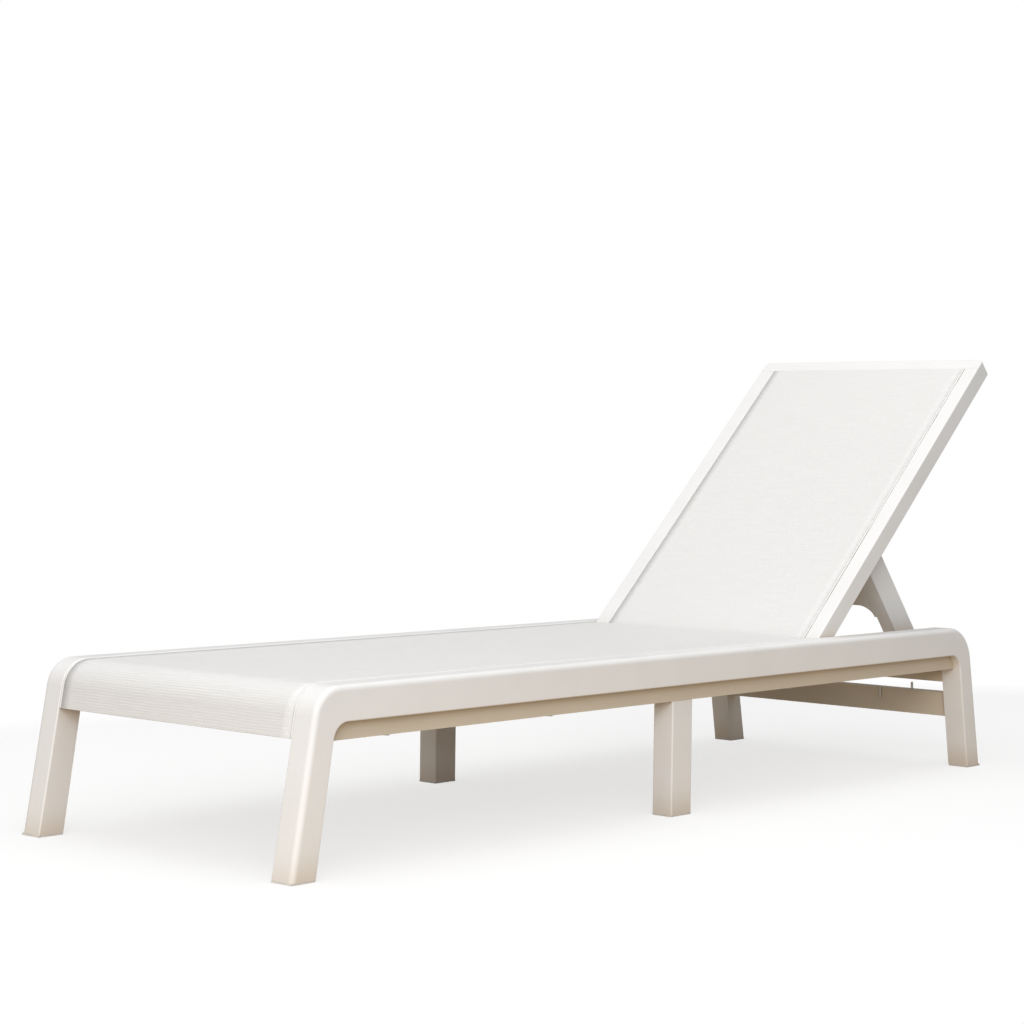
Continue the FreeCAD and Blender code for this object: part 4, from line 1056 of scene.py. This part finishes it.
def back_sling(axes: BackAxes) -> Sling:
    """The back's sling, placed by the CAD's own back sling and edge bead."""
    low, high = axes.box("back_sling")
    bead_low, bead_high = axes.box("back_edge_bead_right")
    profile = BackProfile(length=float(high[0] - low[0]), axes=axes, start=float(low[0]),
                          height=float(high[2]) + BACK_LIFT)
    return Sling("back", Body.BACK, profile, half_width=float(high[1]),
                 welt_line=float(bead_low[1] + bead_high[1]) / 2, sag=4.0 * MM,
                 sag_ends=(0.03, 0.02), rests_on=("back_rail_left", "back_rail_right"))


# ---- moulded and metal parts ----


@dataclass
class CarriedParts:
    """CAD nodes that stay as they are and get their finish here."""

    look: Look
    stems: tuple[str, ...]

    def dress(self, palette: Palette) -> list[str]:
        """Assigns the look's material to every node whose name starts with one of the stems.

        Args:
            palette: the materials.

        Returns:
            Names of the dressed nodes.
        """
        names = [name for name in sorted(frame["nodes"]) if name.startswith(self.stems)]
        for name in names:
            mesh = frame["nodes"][name].data
            mesh.materials.clear()
            mesh.materials.append(palette[self.look])
            LOG.info("%s: %s", name, self.look.word)
        return names


CARRIED = (
    CarriedParts(Look.RESIN, ("side_frame", "middle_leg", "back_rail", "back_end_cap",
                              "back_top_rail", "back_crossbar", "prop_leg", "prop_web")),
    # these inner parts get the resin copy with painted shade
    CarriedParts(Look.SHADED_INNER_RESIN, ("inner_rail", "front_crossbar", "seat_crossbar",
                                    "rear_crossbar", "rear_stretcher", "rack")),
    CarriedParts(Look.RUBBER, ("front_foot", "rear_foot", "middle_foot", "rest_buffer")),
    CarriedParts(Look.NYLON, ("hinge_bush", "prop_bush", "prop_spacer")),
    CarriedParts(Look.STEEL, ("frame_screws", "hinge_bracket", "hinge_pin", "prop_pin",
                              "prop_foot_bar", "stretcher_stud")),
)


# ---- studio ----


@dataclass(frozen=True)
class Lamp:
    """A square soft light: its place, the point it faces, its side, its watts and its colour."""

    name: str
    at: Triple
    target: Triple
    size: float
    power: float
    colour: Colour

    def add(self) -> None:
        """Adds the light to the scene."""
        data = bpy.data.lights.new(self.name, "AREA")
        data.size = self.size
        data.energy = self.power
        data.color = self.colour
        lamp = bpy.data.objects.new(self.name, data)
        lamp.location = self.at
        ahead = Vector(self.target) - Vector(self.at)
        lamp.rotation_euler = ahead.to_track_quat("-Z", "Y").to_euler()
        bpy.context.scene.collection.objects.link(lamp)


LAMPS = (
    Lamp("overhead", at=(-0.4, -0.4, 4.2), target=(0, 0, 0.2), size=4.5, power=114.0,
         colour=(1.0, 0.995, 0.985)),
    Lamp("front key", at=(-4.1, -3.4, 2.3), target=(0, 0, 0.25), size=3.0, power=146.0,
         colour=(0.985, 0.99, 1.0)),
    Lamp("low fill", at=(-4.6, -1.3, 0.7), target=(0, 0, 0.2), size=1.6, power=22.0,
         colour=(1.0, 0.98, 0.96)),
)


@dataclass
class Studio:
    """Camera, pale floor and soft light."""

    eye: Vector = Vector((-3.4306, -2.8924, 0.6539))
    heading: float = 48.3666
    pitch: float = -1.6182
    roll: float = 0.7368
    lens: float = 84.375
    sensor: float = 36.0
    clip: Pair = (0.05, 100.0)
    floor_half: float = 14.0
    floor_points: int = 9
    floor_noise: Pair = (3.0, 3.0)
    floor_tone: float = 0.985
    fade: Pair = (0.95, 1.9)
    clearness: float = 0.7
    fade_shape: Triple = (0.72, 1.15, 1.0)
    pale: Colour = (0.97, 0.97, 0.965)
    bounce: Colour = (0.55, 0.42, 0.27)
    surround: Colour = (0.985, 0.99, 1.0)
    surround_light: float = 0.36
    backdrop: Colour = (1.0, 1.0, 1.0)

    def add_camera(self) -> None:
        """Adds the camera and makes it the scene's own."""
        heading, pitch, roll = (math.radians(x) for x in (self.heading, self.pitch, self.roll))
        ahead = Vector((math.sin(heading) * math.cos(pitch), math.cos(heading) * math.cos(pitch),
                        math.sin(pitch)))
        right = ahead.cross(Vector((0, 0, 1))).normalized()
        up = right.cross(ahead)
        turned_right = right * math.cos(roll) + up * math.sin(roll)
        turned_up = up * math.cos(roll) - right * math.sin(roll)
        data = bpy.data.cameras.new("camera")
        data.sensor_width = self.sensor
        data.lens = self.lens
        data.clip_start, data.clip_end = self.clip
        camera = bpy.data.objects.new("camera", data)
        turn = Matrix((turned_right, turned_up, -ahead)).transposed()
        camera.matrix_world = Matrix.Translation(self.eye) @ turn.to_4x4()
        bpy.context.scene.collection.objects.link(camera)
        bpy.context.scene.camera = camera

    def add_floor(self) -> None:
        """Adds the floor, which fades into the backdrop far from the lounger."""
        side = np.linspace(-self.floor_half, self.floor_half, self.floor_points)
        x, y = np.meshgrid(side, side, indexing="ij")
        points = np.stack([x, y, np.zeros_like(x)], axis=-1).reshape(-1, 3)
        floor = make_mesh("floor", points, grid_faces(len(side), len(side)))
        material = bpy.data.materials.new("Pale floor")
        material.use_nodes = True
        graph = Graph(material.node_tree)
        graph.tree.nodes.clear()
        seen = graph.add("LightPath").outputs["Is Camera Ray"]
        at = graph.add("TexCoord").outputs["Object"]
        speckle = graph.noise(at, *self.floor_noise)
        pale = graph.blend(speckle, self.pale, tuple(part * self.floor_tone for part in self.pale))
        diffuse = graph.add("BsdfDiffuse", {"Color": graph.blend(seen, self.bounce, pale)})
        clear = graph.add("BsdfTransparent")
        oval = graph.stretch(at, self.fade_shape)
        reach = graph.add("VectorMath", {0: oval}, operation="LENGTH")
        far = graph.ramp(reach.outputs["Value"], *self.fade)
        share = graph.math("MAXIMUM", far, graph.math("MULTIPLY", seen, self.clearness))
        mixed = graph.add("MixShader", {0: share, 1: diffuse.outputs[0], 2: clear.outputs[0]})
        graph.add("OutputMaterial", {"Surface": mixed.outputs[0]})
        floor.data.materials.append(material)

    def add_world(self) -> None:
        """Adds an even pale surround, seen brighter than it lights."""
        world = bpy.data.worlds.new("surround")
        bpy.context.scene.world = world
        world.use_nodes = True
        graph = Graph(world.node_tree)
        graph.tree.nodes.clear()
        light = graph.add("Background", {"Color": (*self.surround, 1.0),
                                         "Strength": self.surround_light})
        backdrop = graph.add("Background", {"Color": (*self.backdrop, 1.0), "Strength": 1.0})
        seen = graph.add("LightPath").outputs["Is Camera Ray"]
        mixed = graph.add("MixShader", {0: seen, 1: light.outputs[0], 2: backdrop.outputs[0]})
        graph.add("OutputWorld", {"Surface": mixed.outputs[0]})

    def build(self) -> None:
        """Sets up the whole studio."""
        bpy.context.scene.view_settings.view_transform = "Standard"
        self.add_camera()
        self.add_floor()
        self.add_world()
        for lamp in LAMPS:
            lamp.add()


def write_size() -> None:
    """Updates the view layer."""
    bpy.context.view_layer.update()


def main() -> None:
    """Builds the studio, then each sub-assembly in turn."""
    logging.basicConfig(level=logging.INFO, format="%(message)s")
    Studio().build()
    palette = Palette(Effects())
    dressed = [name for parts in CARRIED for name in parts.dress(palette)]
    LOG.info("%d CAD nodes dressed", len(dressed))
    recline = next(joint for joint in frame["joints"] if joint["name"] == "recline")
    axes = BackAxes(Vector(recline["pos_m"]), math.radians(max(recline["range_deg"])))
    seat_sling().build(palette)
    back_sling(axes).build(palette)
    write_size()


if __name__ == "__main__":
    main()
